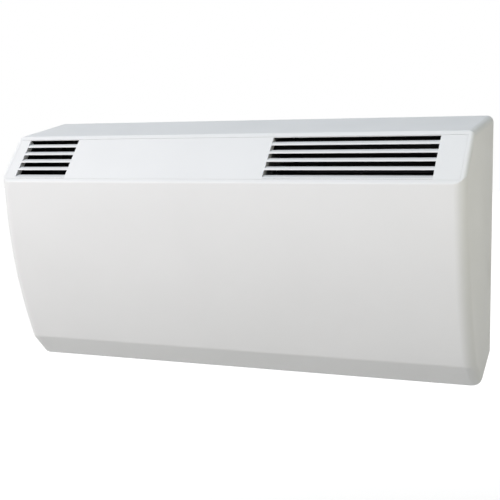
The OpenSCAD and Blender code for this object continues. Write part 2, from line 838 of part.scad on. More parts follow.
module fan_bearing() {
  color("goldenrod")
    difference() {
      rod_x(bay_right - bush_flange, bay_right + sheet + bush_flange, fan_y, fan_z, bearing_radius);
      rod_x(bay_right - bush_flange - over, bay_right + sheet + bush_flange + over,
            fan_y, fan_z, pin_radius + running_fit);
    }
}

// Rubber bush, grooved to sit in the right side plate
module bearing_bush() {
  color("black")
    difference() {
      union() {
        rod_x(bay_right - bush_flange, bay_right, fan_y, fan_z, bush_radius + bush_flange);
        rod_x(bay_right - over, bay_right + sheet + over, fan_y, fan_z, bush_radius);
        rod_x(bay_right + sheet, bay_right + sheet + bush_flange, fan_y, fan_z, bush_radius + bush_flange);
      }
      rod_x(bay_right - bush_flange - over, bay_right + sheet + bush_flange + over,
            fan_y, fan_z, bearing_radius + fixed_fit);
    }
}

// Motor can with a stepped end and a ring of cooling slots
module motor() {
  cap = 6;
  slots = 12;
  slot_width = 2;
  color("gray")
    difference() {
      translate([motor_x, fan_y, fan_z])
        rotate([0, 90, 0])
          rotate_extrude()
            polygon([[shaft_radius + running_fit, 0], [motor_radius - 2 * cap, 0],
                     [motor_radius - cap, cap / 2], [motor_radius - cap, cap],
                     [motor_radius, cap], [motor_radius, motor_length - cap],
                     [motor_radius - cap / 2, motor_length - cap], [motor_radius - cap / 2, motor_length],
                     [shaft_radius + running_fit, motor_length]]);
      for (i = [0:slots - 1])
        translate([motor_x - over, fan_y, fan_z])
          rotate([360 * i / slots, 0, 0])
            translate([0, motor_radius - 3 * cap, -slot_width / 2])
              cube([cap / 2 + over, cap, slot_width]);
    }
}

module motor_bracket() {
  color("silver")
    along_x(bracket_x, bracket_x + bracket_thickness)
      translate(fan_axis)
        difference() {
          union() {
            circle(r = motor_radius + bracket_rim);
            for (a = mount_angles)
              rotate(a)
                translate([0, -mount_radius - bracket_rim])
                  square([mount_ring, 2 * (mount_radius + bracket_rim)]);
            for (a = mount_angles)
              translate(polar(mount_ring, a))
                circle(r = bracket_radius - mount_ring);
          }
          circle(r = shaft_radius + hub_wall);
          for (a = mount_angles)
            translate(polar(mount_ring, a))
              circle(r = screw_radius + fixed_fit);
        }
}

module motor_mounts() {
  color("black")
    for (a = mount_angles)
      let (p = fan_axis + polar(mount_ring, a))
        difference() {
          rod_x(bracket_x + bracket_thickness, bay_left - sheet, p[0], p[1], mount_radius);
          rod_x(bracket_x, bay_left, p[0], p[1], screw_radius + fixed_fit);
        }
}

module motor_screws() {
  color("silver")
    for (a = mount_angles)
      let (p = fan_axis + polar(mount_ring, a)) {
        rod_x(bracket_x - screw_head_height, bracket_x, p[0], p[1], screw_head);
        rod_x(bracket_x - screw_head_height, bay_left, p[0], p[1], screw_radius);
      }
}

module tube_holes(r) {
  for (c = [0:tube_columns - 1], row = [0:tube_rows - 1])
    translate([column_y(c), row_z(row)])
      circle(r = r);
}

module coil_fins() {
  first = bay_left + sheet + fin_pitch;
  last = bay_right - sheet - fin_pitch;
  count = floor((last - first) / fin_pitch);
  color("lightgray")
    for (i = [0:count])
      along_x(first + i * fin_pitch, first + i * fin_pitch + fin_thickness)
        difference() {
          translate([coil_front, coil_bottom])
            square([coil_depth, coil_height]);
          tube_holes(tube_radius + fixed_fit);
        }
}

// Half-round return bend between two tubes, at x, bulging to the given side
module return_bend(x, side, from, to) {
  middle = (from + to) / 2;
  way = to - from;
  translate([x, middle[0], middle[1]])
    rotate([atan2(way[1], way[0]), 0, 0])
      rotate([0, 0, side > 0 ? -90 : 90])
        rotate_extrude(angle = 180)
          translate([norm(way) / 2, 0])
            circle(r = tube_radius);
}

// Serpentine: the upper row to the front, then the lower row to the back
module coil_tubes() {
  left_x = bay_left - bend_stub;
  right_x = bay_right + bend_stub;
  order = concat([for (c = [0:tube_columns - 1]) [column_y(c), row_z(0)]],
                 [for (c = [tube_columns - 1:-1:0]) [column_y(c), row_z(1)]]);
  last = len(order) - 1;
  color("peru") {
    for (i = [0:last])
      let (start = i == 0 || i == last ? tail_start - tail_cup : left_x)
        rod_x(start, right_x, order[i][0], order[i][1], tube_radius);
    for (i = [0:last - 1])
      if (i % 2 == 0)
        return_bend(right_x, 1, order[i], order[i + 1]);
      else
        return_bend(left_x, -1, order[i], order[i + 1]);
  }
}

module coil_end_plates() {
  color("silver")
    for (x = [bay_left, bay_right - sheet])
      along_x(x, x + sheet)
        difference() {
          translate([coil_front - seal_thickness + slack, coil_bottom - end_plate_rim])
            square([coil_depth + seal_thickness + end_plate_rim, coil_height + 2 * end_plate_rim]);
          tube_holes(tube_radius + fixed_fit);
        }
}

// Foam strips that close the gaps before and behind the fins
module coil_seals() {
  color("dimgray")
    for (y = [[coil_front - seal_thickness, coil_front - slack],
              [coil_back + slack, -plate_thickness - sheet - slack]])
      translate([bay_left + sheet + slack, y[0], coil_bottom])
        cube([bay_right - bay_left - 2 * (sheet + slack), y[1] - y[0], coil_height]);
}

// Tail: cup on the coil's stub, level run, bend, upright with an open end
module tail(upright_x, z) {
  run_end = upright_x + tail_bend;
  difference() {
    union() {
      rod_x(run_end, tail_start, tail_y, z, tail_radius);
      tail_elbow(run_end, z, tail_radius);
      translate([upright_x, tail_y, tail_end])
        cylinder(r = tail_radius, h = z - tail_bend - tail_end);
    }
    rod_x(run_end, tail_start - tail_cup, tail_y, z, tail_bore);
    rod_x(tail_start - tail_cup - over, tail_start + over, tail_y, z, tube_radius + fixed_fit);
    tail_elbow(run_end, z, tail_bore);
    translate([upright_x, tail_y, tail_end - over])
      cylinder(r = tail_bore, h = z - tail_bend - tail_end + over);
  }
}

module tail_elbow(x, z, r) {
  translate([x, tail_y, z - tail_bend])
    rotate([90, 0, 0])
      rotate([0, 0, 90])
        rotate_extrude(angle = 90)
          translate([tail_bend, 0])
            circle(r = r);
}

module flow_tail() {
  color("peru")
    tail(flow_x, row_z(0));
}

module return_tail() {
  color("peru")
    tail(return_x, row_z(1));
}

// Tee on the flow tail with a bleed screw on top
module air_vent() {
  length = 18;
  sleeve = 2.5;
  boss = [6, 9];
  bleed = [3.5, 16];
  slot = [1, 2];
  z = row_z(0);
  color("goldenrod")
    difference() {
      union() {
        rod_x(vent_x - length / 2, vent_x + length / 2, tail_y, z, tail_radius + sleeve);
        translate([vent_x, tail_y, z])
          cylinder(r = boss[0], h = tail_radius + boss[1]);
        translate([vent_x, tail_y, z])
          cylinder(r = bleed[0], h = tail_radius + bleed[1]);
      }
      rod_x(vent_x - length, vent_x + length, tail_y, z, tail_radius + fixed_fit);
      translate([vent_x - bleed[0] - over, tail_y - slot[0] / 2, z + tail_radius + bleed[1] - slot[1]])
        cube([2 * (bleed[0] + over), slot[0], slot[1] + over]);
    }
}

// Spring clip round the flow tail, with a flat seat on top
module thermostat_clip() {
  width = 14;
  z = row_z(0);
  color("silver")
    difference() {
      union() {
        rod_x(thermostat_x - width / 2, thermostat_x + width / 2, tail_y, z, tail_radius + clip_wall);
        translate([thermostat_x - width / 2, tail_y - tail_radius, z])
          cube([width, 2 * tail_radius, tail_radius + clip_wall]);
      }
      rod_x(thermostat_x - width, thermostat_x + width, tail_y, z, tail_radius + fixed_fit);
      translate([thermostat_x - width, tail_y - tail_radius / 2, z - 2 * tail_radius])
        cube([2 * width, tail_radius, 2 * tail_radius]);
    }
}

// Snap-disc thermostat with two tab terminals
module pipe_thermostat() {
  seat = row_z(0) + tail_radius + clip_wall;
  cup = [8, 4];
  body = [6.5, 9];
  blade = [0.8, 4.8, 7];
  blade_gap = 6;
  color("black") {
    translate([thermostat_x, tail_y, seat])
      cylinder(r = cup[0], h = cup[1]);
    translate([thermostat_x, tail_y, seat])
      cylinder(r = body[0], h = body[1]);
    for (side = [-1, 1])
      translate([thermostat_x + (side * blade_gap - blade[0]) / 2, tail_y - blade[1] / 2,
                 seat + body[1] - over])
        cube([blade[0], blade[1], blade[2] + over]);
  }
}

// Saddle that holds a round piece of radius r off the back plate, with a foot at each side
module saddle(x, y, z, r) {
  reach = -y - plate_thickness;
  foot = 2 * r;
  along_x(x - clip_width / 2, x + clip_width / 2)
    translate([y, z])
      difference() {
        union() {
          circle(r = r + clip_wall);
          translate([0, -r - clip_wall])
            square([reach, 2 * (r + clip_wall)]);
          translate([reach - clip_wall, -foot])
            square([clip_wall, 2 * foot]);
        }
        circle(r = r + fixed_fit);
        translate([r, -r])
          square([reach - r - clip_wall, 2 * r]);
      }
}

module pipe_clips() {
  color("silver") {
    saddle(flow_clip_x, tail_y, row_z(0), tail_radius);
    saddle(return_clip_x, tail_y, row_z(1), tail_radius);
  }
}

// Cubic curve through four guide points
function bezier(p, t) =
  p[0] * pow(1 - t, 3) + 3 * p[1] * pow(1 - t, 2) * t + 3 * p[2] * (1 - t) * t * t + p[3] * pow(t, 3);

// Round lead from the back of the motor's can, along the back plate, into the control box
module motor_lead() {
  start = [lead_x, fan_y + motor_radius + fixed_fit, fan_z];
  end = [lead_clip_x + clip_width, lead_y, lead_z];
  guides = [start, [lead_x, lead_y, fan_z], end + [lead_ease * (lead_x - end[0]), 0, 0], end];
  path = concat([for (i = [0:lead_steps]) bezier(guides, i / lead_steps)],
                [[box_right - lead_tail, lead_y, lead_z]]);
  last = len(path) - 1;
  color("gray")
    skin([for (i = [0:last])
      let (way = i == 0 ? unit(guides[1] - start) : unit(path[min(i + 1, last)] - path[i - 1]),
           side = unit(cross([0, 0, 1], way)),
           up = cross(way, side))
      [for (a = [0:360 / lead_sides:359]) path[i] + lead_radius * (side * cos(a) + up * sin(a))]]);
}

module lead_clip() {
  color("black")
    saddle(lead_clip_x, lead_y, lead_z, lead_radius);
}

module control_box() {
  color("silver")
    difference() {
      translate([box_left, box_front, box_bottom])
        cube([box_width, box_depth, box_height]);
      translate([box_left + box_sheet, box_front - over, box_bottom + box_sheet])
        cube([box_width - 2 * box_sheet, box_depth - box_sheet + over, box_height - 2 * box_sheet]);
      translate([gland_x, gland_y, box_bottom - over])
        cylinder(r = gland_radius + fixed_fit, h = box_sheet + 2 * over);
      rod_x(box_right - box_sheet - over, box_right + over, lead_y, lead_z, lead_radius + slack);
    }
}

function lid_screw_points() = [for (z = [-1, 1]) [gland_x, z * (box_height / 2 - lid_screw_margin)]];

module control_lid() {
  lip = 8;
  color("silver") {
    difference() {
      translate([box_left, box_front - box_sheet, box_bottom])
        cube([box_width, box_sheet, box_height]);
      for (p = lid_screw_points())
        facing_wall(p[0], box_front + over, p[1])
          cylinder(r = screw_radius + fixed_fit, h = box_sheet + 2 * over);
    }
    // Lips inside the box's side walls
    for (x = [box_left + box_sheet + slack, box_right - 2 * box_sheet - slack])
      translate([x, box_front - box_sheet / 2, box_bottom + lip])
        cube([box_sheet, lip, box_height - 2 * lip]);
  }
}

module lid_screws() {
  color("silver")
    for (p = lid_screw_points()) {
      facing_wall(p[0], box_front - box_sheet, p[1])
        cylinder(r = screw_head, h = screw_head_height);
      facing_wall(p[0], box_front + lid_screw_length, p[1])
        cylinder(r = screw_radius, h = lid_screw_length + box_sheet + screw_head_height / 2);
    }
}

// Board on four pillars, with a transformer and a relay
module circuit_board() {
  pillar = 8;
  pillar_radius = 2.5;
  pillar_inset = 4;
  board = 1.6;
  width = box_width - 2 * box_margin - 2 * capacitor_radius - box_sheet;
  height = box_height - board_rise - box_margin;
  transformer = [30, 24, 28];
  relay = [14, 16, 19];
  x0 = box_left + box_margin;
  z0 = box_bottom + board_rise;
  face = box_back - box_sheet - pillar;
  color("darkgreen") {
    translate([x0, face - board, z0])
      cube([width, board, height]);
    for (x = [x0 + pillar_inset, x0 + width - pillar_inset],
         z = [z0 + pillar_inset, z0 + height - pillar_inset])
      facing_wall(x, box_back - box_sheet, z)
        cylinder(r = pillar_radius, h = pillar + board / 2);
    translate([x0 + (width - transformer[0]) / 2, face - board / 2 - transformer[1],
               z0 + height - 2 * pillar_inset - transformer[2]])
      cube(transformer);
    translate([x0 + 2 * pillar_inset, face - board / 2 - relay[1], z0 + 2 * pillar_inset])
      cube(relay);
  }
}

// Screw-clamp strip, wired from below
module terminal_block() {
  size = [terminal_ways * terminal_pitch, terminal_depth, terminal_height];
  well = [2.4, 5];
  face = box_back - box_sheet - size[1];
  color("white")
    difference() {
      translate([box_left + box_margin, face, box_bottom + terminal_rise])
        cube(size);
      for (i = [0:terminal_ways - 1])
        facing_wall(box_left + box_margin + (i + 0.5) * terminal_pitch, face + well[1],
                    box_bottom + terminal_rise + size[2] / 2)
          cylinder(r = well[0], h = well[1] + over);
    }
}

module motor_capacitor() {
  length = 42;
  color("gainsboro")
    translate([box_right - 2 * box_sheet - 2 * slack - capacitor_radius,
               box_back - box_sheet - slack - capacitor_radius, box_bottom + box_sheet])
      cylinder(r = capacitor_radius, h = length);
}

// Gland in the floor of the control box
module cable_gland() {
  grip = 4.5;
  flats = gland_radius + 3;
  nut = 6;
  dome = [gland_radius - 1.5, 16];
  color("black")
    translate([gland_x, gland_y, box_bottom])
      difference() {
        union() {
          translate([0, 0, -nut])
            cylinder(r = flats, h = nut, $fn = 6);
          translate([0, 0, -dome[1]])
            cylinder(r1 = dome[0], r2 = gland_radius, h = dome[1] - nut + over);
          cylinder(r = gland_radius, h = box_sheet + over);
          translate([0, 0, box_sheet])
            cylinder(r = flats, h = nut, $fn = 6);
        }
        translate([0, 0, -dome[1] - over])
          cylinder(r = grip, h = dome[1] + box_sheet + nut + 2 * over);
      }
}

// Rubber grommet, grooved to sit in the back plate
module cable_grommet() {
  outer = grommet_bore + 2 * grommet_groove - fixed_fit;
  color("black")
    facing_wall(grommet_x, 0, grommet_z)
      difference() {
        union() {
          cylinder(r = outer, h = plate_thickness);
          translate([0, 0, plate_thickness])
            cylinder(r = outer + grommet_groove, h = grommet_flange);
        }
        translate([0, 0, -over])
          cylinder(r = grommet_bore, h = plate_thickness + grommet_flange + 2 * over);
      }
}

module switch_housing() {
  body = switch_body;
  cavity = [body[0] - 2 * switch_side, body[1] - 2 * switch_side];
  floor_depth = 4;
  blade = [4.8, 0.8, 7];
  blade_pitch = 5;
  difference() {
    union() {
      translate([-switch_width / 2, -switch_rim_height / 2, 0])
        cube([switch_width, switch_rim_height, switch_rim]);
      translate([-body[0] / 2, -body[1] / 2, -body[2]])
        cube([body[0], body[1], body[2] + switch_rim / 2]);
      for (i = [-1:1])
        translate([-blade[0] / 2, i * blade_pitch - blade[1] / 2, -body[2] - blade[2]])
          cube([blade[0], blade[1], blade[2] + over]);
    }
    translate([-cavity[0] / 2, -cavity[1] / 2, -body[2] + floor_depth])
      cube([cavity[0], cavity[1], body[2]]);
    translate([-body[0], 0, rocker_pivot])
      rotate([0, 90, 0])
        cylinder(r = rocker_pin + running_fit, h = 2 * body[0]);
  }
}

// Rocker in its off position, on a pin across the housing
module rocker() {
  crown = 4.7;
  dip = 3.4;
  shoulder = 0.5;
  foot = [2, 4.5];
  translate([0, 0, rocker_pivot])
    rotate([-rocker_tilt, 0, 0]) {
      along_x(-rocker_width / 2, rocker_width / 2)
        polygon([[-rocker_half, crown], [-rocker_half, shoulder], [-foot[0], -foot[1]], [foot[0], -foot[1]],
                 [rocker_half, shoulder], [rocker_half, crown], [0, dip]]);
      rod_x(-switch_body[0] / 2 + slack, switch_body[0] / 2 - slack, 0, 0, rocker_pin);
    }
}

module power_switch() {
  color("black")
    on_left_end(-switch_wall, switch_height + switch_pitch) switch_housing();
}

module power_rocker() {
  color("dimgray")
    on_left_end(-switch_wall, switch_height + switch_pitch) rocker();
}

module speed_switch() {
  color("black")
    on_left_end(-switch_wall, switch_height) switch_housing();
}

module speed_rocker() {
  color("dimgray")
    on_left_end(-switch_wall, switch_height) rocker();
}

// Filter frame, flush with the underside, with upright edges so that it drops straight out
module filter_frame() {
  back = -filter_wall;
  front = -filter_wall - filter_width;
  pitch = (filter_right - filter_left - filter_border) / filter_cells;
  tab_y = back - filter_border;
  color("dimgray") {
    difference() {
      along_x(filter_left, filter_right)
        polygon([[back, under_z(back)], [back, under_z(back) + filter_height],
                 [front, under_z(front) + filter_height], [front, under_z(front)]]);
      for (i = [0:filter_cells - 1])
        translate([filter_left + filter_border + i * pitch, front + filter_border, filter_low - over])
          cube([pitch - filter_border, filter_width - 2 * filter_border,
                filter_high - filter_low + filter_height + 2 * over]);
    }
    // Finger tab
    translate([(filter_left + filter_right - finger_tab) / 2, tab_y, under_z(tab_y) - finger_drop])
      cube([finger_tab, filter_border / 2, finger_drop + filter_height / 2]);
  }
}

// Net on top of the frame
module filter_net() {
  edge = filter_border / 4;
  stretch = 1 / cos(under_angle);
  length = filter_right - filter_left - 2 * edge;
  width = (filter_width - 2 * edge) * stretch;
  columns = floor((length - net_thread) / net_pitch);
  rows = floor((width - net_thread) / net_pitch);
  step_x = (length - net_thread) / columns;
  step_y = (width - net_thread) / rows;
  color("gray")
    translate([filter_left + edge, -filter_wall - edge, under_z(-filter_wall - edge) + filter_height])
      rotate([under_angle, 0, 0])
        translate([0, -width, 0])
          linear_extrude(net_thickness)
            difference() {
              square([length, width]);
              for (i = [0:columns - 1], j = [0:rows - 1])
                translate([net_thread + i * step_x, net_thread + j * step_y])
                  square([step_x - net_thread, step_y - net_thread]);
            }
}

module casing_screws() {
  color("silver")
    for (side = [-1, 1])
      on_underside()
        translate([side * casing_screw_x, screw_reach, 0]) {
          cylinder(r = screw_head, h = screw_head_height);
          translate([0, 0, -wall - screw_grip])
            cylinder(r = screw_radius, h = wall + screw_grip + screw_head_height / 2);
        }
}

module side_plate_screws() {
  color("silver")
    for (x = side_screw_x(), z = side_screw_z()) {
      facing_wall(x, -plate_thickness - sheet, z)
        cylinder(r = screw_head, h = screw_head_height);
      facing_wall(x, 0, z)
        cylinder(r = screw_radius, h = plate_thickness + sheet + screw_head_height / 2);
    }
}

casing();
grille_panel();
back_plate();
left_side_plate();
right_side_plate();
fan_scroll();
front_deflector();
impeller();
motor_shaft();
idler_pin();
fan_bearing();
bearing_bush();
motor();
motor_bracket();
motor_mounts();
motor_screws();
coil_fins();
coil_tubes();
coil_end_plates();
coil_seals();
flow_tail();
return_tail();
air_vent();
thermostat_clip();
pipe_thermostat();
pipe_clips();
motor_lead();
lead_clip();
control_box();
control_lid();
lid_screws();
circuit_board();
terminal_block();
motor_capacitor();
cable_gland();
cable_grommet();
power_switch();
power_rocker();
speed_switch();
speed_rocker();
filter_frame();
filter_net();
casing_screws();
side_plate_screws();
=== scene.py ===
# Wall-hung fan convector heater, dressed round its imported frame.
# Lengths are millimetres in the frame's axes: x along the wall, y = 0 the wall, the front at -y, z up.
import math

import bpy
import numpy as np
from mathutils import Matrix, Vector
from mathutils.geometry import tessellate_polygon


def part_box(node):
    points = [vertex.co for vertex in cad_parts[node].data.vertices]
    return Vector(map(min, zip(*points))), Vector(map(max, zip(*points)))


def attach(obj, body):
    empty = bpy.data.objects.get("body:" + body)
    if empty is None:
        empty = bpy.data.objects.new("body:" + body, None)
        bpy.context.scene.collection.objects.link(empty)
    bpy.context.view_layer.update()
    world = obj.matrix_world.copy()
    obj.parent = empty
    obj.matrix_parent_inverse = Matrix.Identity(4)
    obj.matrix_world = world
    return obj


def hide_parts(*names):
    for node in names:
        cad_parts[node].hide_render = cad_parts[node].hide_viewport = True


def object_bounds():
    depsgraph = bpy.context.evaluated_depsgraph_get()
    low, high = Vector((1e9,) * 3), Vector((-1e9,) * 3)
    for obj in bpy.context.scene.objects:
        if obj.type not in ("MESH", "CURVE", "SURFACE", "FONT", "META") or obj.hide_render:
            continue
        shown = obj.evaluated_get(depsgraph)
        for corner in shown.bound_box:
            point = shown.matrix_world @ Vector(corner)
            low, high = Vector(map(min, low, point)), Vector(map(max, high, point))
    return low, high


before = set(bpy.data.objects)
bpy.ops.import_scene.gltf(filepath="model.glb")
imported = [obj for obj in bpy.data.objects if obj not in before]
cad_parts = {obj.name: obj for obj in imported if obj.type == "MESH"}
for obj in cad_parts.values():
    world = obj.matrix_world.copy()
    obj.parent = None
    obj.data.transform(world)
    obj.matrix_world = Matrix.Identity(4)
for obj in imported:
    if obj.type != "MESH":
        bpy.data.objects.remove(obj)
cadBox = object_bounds()
mm = 0.001
scene = bpy.context.scene
scene.view_settings.view_transform = "Standard"
print("frame:", len(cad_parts), "nodes")

# Camera, level with the louvres and to the right of the heater
viewpoint = {
    "place": (652.4, -1500.2, 106.0),
    "tiltDown": 4.212,                       # degrees
    "swing": 23.936,                         # degrees round z
    "lens": 78.37,
    "sensor": 36.0,
}
camera = bpy.data.objects.new("camera", bpy.data.cameras.new("camera"))
camera.data.lens = viewpoint["lens"]
camera.data.sensor_width = viewpoint["sensor"]
camera.location = Vector(viewpoint["place"]) * mm
camera.rotation_euler = (math.radians(90 - viewpoint["tiltDown"]), 0, math.radians(viewpoint["swing"]))
scene.collection.objects.link(camera)
scene.camera = camera
print("camera set")

mixFactor, mixFirst, mixLast, mixResult = 0, 6, 7, 2     # colour sockets of a Mix node


# Node helpers for the finishes
def newFinish(name, colour, roughness, metallic=0.0):
    finish = bpy.data.materials.new(name)
    finish.use_nodes = True
    shader = finish.node_tree.nodes["Principled BSDF"]
    shader.inputs["Base Color"].default_value = (*colour, 1)
    shader.inputs["Roughness"].default_value = roughness
    shader.inputs["Metallic"].default_value = metallic
    return finish, shader


# Each input is a socket to join or a plain value
def addNode(finish, kind, inputs, **options):
    node = finish.node_tree.nodes.new(kind)
    for option, value in options.items():
        setattr(node, option, value)
    for socket, value in inputs.items():
        if isinstance(value, bpy.types.NodeSocket):
            finish.node_tree.links.new(value, node.inputs[socket])
        else:
            node.inputs[socket].default_value = value
    return node


def pieceCoords(finish, stretch=(1, 1, 1)):
    spot = addNode(finish, "ShaderNodeTexCoord", {}).outputs["Object"]
    return addNode(finish, "ShaderNodeMapping", {"Vector": spot, "Scale": stretch}).outputs[0]


def noiseOn(finish, scale, detail=3, stretch=(1, 1, 1)):
    inputs = {"Vector": pieceCoords(finish, stretch), "Scale": scale, "Detail": detail}
    return addNode(finish, "ShaderNodeTexNoise", inputs).outputs["Fac"]


def cellsOn(finish, scale, feature="F1"):
    inputs = {"Vector": pieceCoords(finish), "Scale": scale}
    return addNode(finish, "ShaderNodeTexVoronoi", inputs, feature=feature)


# Low at start and high at end; a noise keeps mostly between 0.3 and 0.7
def spread(finish, value, low, high, start=0.3, end=0.7):
    inputs = {"Value": value, "From Min": start, "From Max": end, "To Min": low, "To Max": high}
    return addNode(finish, "ShaderNodeMapRange", inputs).outputs[0]


def shadeBetween(finish, factor, first, last):
    inputs = {mixFactor: factor, mixFirst: (*first, 1), mixLast: (*last, 1)}
    return addNode(finish, "ShaderNodeMix", inputs, data_type="RGBA").outputs[mixResult]


def join(finish, value, shader, socket):
    finish.node_tree.links.new(value, shader.inputs[socket])


def bumpFrom(finish, shader, height, strength, depth):
    inputs = {"Height": height, "Strength": strength, "Distance": depth * mm}
    bump = addNode(finish, "ShaderNodeBump", inputs)
    join(finish, bump.outputs["Normal"], shader, "Normal")


# Mottled finish: colour and roughness drift with one noise, and a finer noise gives the surface its grain
def mottledFinish(name, dark, light, patch, roughness, grain, metallic=0.0, stretch=(1, 1, 1)):
    finish, shader = newFinish(name, light, roughness[0], metallic)
    drift = spread(finish, noiseOn(finish, patch, detail=4, stretch=stretch), 0, 1)
    join(finish, shadeBetween(finish, drift, dark, light), shader, "Base Color")
    join(finish, spread(finish, drift, *roughness, start=0, end=1), shader, "Roughness")
    grainScale, strength, depth = grain
    bumpFrom(finish, shader, noiseOn(finish, grainScale, detail=2, stretch=stretch), strength, depth)
    return finish


# Each look: dark and light colour, patches in a metre, roughness where dark and where light, and the
# grain's scale, strength and depth. Metals add metallic and a stretch that draws the pattern into lines.
mottledLooks = {
    "black_sheet": ((0.012, 0.012, 0.013), (0.022, 0.022, 0.023), 35, (0.5, 0.68), (900, 0.12, 0.2)),
    "black_plastic": ((0.017, 0.017, 0.019), (0.028, 0.028, 0.03), 50, (0.42, 0.55), (1600, 0.12, 0.15)),
    "switch_gloss": ((0.02, 0.02, 0.022), (0.03, 0.03, 0.033), 80, (0.14, 0.22), (500, 0.02, 0.1)),
    "black_rubber": ((0.014, 0.014, 0.014), (0.024, 0.024, 0.024), 70, (0.72, 0.9), (1200, 0.2, 0.2)),
    "motor_paint": ((0.12, 0.13, 0.14), (0.17, 0.18, 0.19), 40, (0.32, 0.46), (420, 0.25, 0.3)),
    "terminal_nylon": ((0.66, 0.65, 0.6), (0.74, 0.73, 0.68), 60, (0.4, 0.52), (1500, 0.08, 0.1)),
    "filter_plastic": ((0.095, 0.095, 0.105), (0.13, 0.13, 0.14), 45, (0.48, 0.62), (1500, 0.15, 0.15)),
    "lead_sheath": ((0.18, 0.18, 0.19), (0.24, 0.24, 0.25), 55, (0.45, 0.6), (1400, 0.1, 0.1)),
    "steel": ((0.46, 0.46, 0.47), (0.6, 0.6, 0.61), 60, (0.24, 0.4), (700, 0.1, 0.1), 1.0, (1, 6, 6)),
    "fin_aluminium": ((0.64, 0.65, 0.67), (0.76, 0.77, 0.79), 90, (0.28, 0.42), (500, 0.12, 0.15),
                      1.0, (1, 1, 8)),
}
finishes = {name: mottledFinish(name, *look) for name, look in mottledLooks.items()}


# Satin moulded white: a faint drift of tone and gloss, and a fine moulded grain
def casingWhite():
    finish, shader = newFinish("casing_white", colour=(0.83, 0.84, 0.85), roughness=0.45)
    drift = spread(finish, noiseOn(finish, scale=7), 0, 1)
    tone = shadeBetween(finish, drift, (0.82, 0.825, 0.827), (0.842, 0.847, 0.85))
    join(finish, tone, shader, "Base Color")
    join(finish, spread(finish, noiseOn(finish, scale=28), low=0.42, high=0.52), shader, "Roughness")
    bumpFrom(finish, shader, noiseOn(finish, scale=1100, detail=2), strength=0.06, depth=0.15)
    return finish


# Painted shade: a near-black finish with a felt-like grain on the inside faces of the casing, standing in
# for the shade inside it
def paintedShadeLining():
    finish, shader = newFinish("painted_shade_lining", colour=(0.008, 0.008, 0.008), roughness=0.95)
    felt = noiseOn(finish, scale=900, detail=4)
    tone = shadeBetween(finish, felt, (0.003, 0.003, 0.003), (0.014, 0.014, 0.014))
    join(finish, tone, shader, "Base Color")
    bumpFrom(finish, shader, felt, strength=0.5, depth=0.4)
    shader.inputs["Specular IOR Level"].default_value = 0.1
    return finish


# Zinc spangle: flat crystals of differing brightness and gloss, with a soft cloud over them
def galvanisedSheet():
    finish, shader = newFinish("galvanised_sheet", colour=(0.62, 0.64, 0.66), roughness=0.4, metallic=1.0)
    crystal = cellsOn(finish, scale=170).outputs["Color"]
    spangle = addNode(finish, "ShaderNodeSeparateColor", {"Color": crystal}).outputs["Red"]
    cloud = spread(finish, noiseOn(finish, scale=12, detail=4), low=0.75, high=1.0)
    tone = shadeBetween(finish, spangle, (0.5, 0.52, 0.54), (0.7, 0.72, 0.74))
    inputs = {mixFactor: cloud, mixFirst: (0.5, 0.51, 0.52, 1), mixLast: tone}
    washed = addNode(finish, "ShaderNodeMix", inputs, data_type="RGBA").outputs[mixResult]
    join(finish, washed, shader, "Base Color")
    join(finish, spread(finish, spangle, low=0.3, high=0.5, start=0, end=1), shader, "Roughness")
    bumpFrom(finish, shader, noiseOn(finish, scale=420, detail=2), strength=0.05, depth=0.2)
    return finish


# Brass and copper: bright metal with darker tarnish where the cloud is thick
def tarnished(name, bright, dull, patch):
    finish, shader = newFinish(name, bright, roughness=0.28, metallic=1.0)
    tarnish = spread(finish, noiseOn(finish, patch, detail=6), 0, 1, start=0.48, end=0.72)
    join(finish, shadeBetween(finish, tarnish, bright, dull), shader, "Base Color")
    join(finish, spread(finish, tarnish, low=0.24, high=0.55, start=0, end=1), shader, "Roughness")
    bumpFrom(finish, shader, noiseOn(finish, scale=500), strength=0.05, depth=0.2)
    return finish


# Open-cell foam: round pores, low in their middles, with painted shade darkening each middle
def foam():
    finish, shader = newFinish("foam", colour=(0.05, 0.05, 0.05), roughness=0.95)
    pore = cellsOn(finish, scale=800).outputs["Distance"]
    tone = shadeBetween(finish, pore, (0.025, 0.025, 0.026), (0.07, 0.07, 0.071))
    join(finish, tone, shader, "Base Color")
    bumpFrom(finish, shader, pore, strength=0.7, depth=0.5)
    return finish


# Lacquered board: copper tracks show as a lighter green under the lacquer
def boardGreen():
    finish, shader = newFinish("board_green", colour=(0.03, 0.16, 0.07), roughness=0.3)
    gap = cellsOn(finish, scale=160, feature="DISTANCE_TO_EDGE").outputs["Distance"]
    track = spread(finish, gap, low=1, high=0, start=0.03, end=0.06)
    tone = shadeBetween(finish, track, (0.02, 0.11, 0.05), (0.06, 0.24, 0.1))
    join(finish, tone, shader, "Base Color")
    bumpFrom(finish, shader, track, strength=0.2, depth=0.1)
    return finish


# Filter net: fine ridges on its threads, with dust caught in patches
def filterMesh():
    finish, shader = newFinish("filter_mesh", colour=(0.16, 0.16, 0.17), roughness=0.8)
    ridges = addNode(finish, "ShaderNodeTexWave", {"Vector": pieceCoords(finish), "Scale": 260})
    dust = spread(finish, noiseOn(finish, scale=30, detail=4), 0, 1)
    tone = shadeBetween(finish, dust, (0.11, 0.11, 0.12), (0.2, 0.195, 0.19))
    join(finish, tone, shader, "Base Color")
    bumpFrom(finish, shader, ridges.outputs["Fac"], strength=0.4, depth=0.2)
    return finish


finishes["casing_white"] = casingWhite()
# Painted shade for the inside faces and the ribs of the casing
finishes["painted_shade_lining"] = paintedShadeLining()
finishes["galvanised_sheet"] = galvanisedSheet()
finishes["brass"] = tarnished("brass", (0.74, 0.56, 0.25), (0.5, 0.36, 0.15), patch=55)
finishes["copper"] = tarnished("copper", (0.76, 0.44, 0.29), (0.45, 0.23, 0.14), patch=26)
finishes["foam"] = foam()
finishes["board_green"] = boardGreen()
finishes["filter_mesh"] = filterMesh()
print("finishes:", len(finishes))


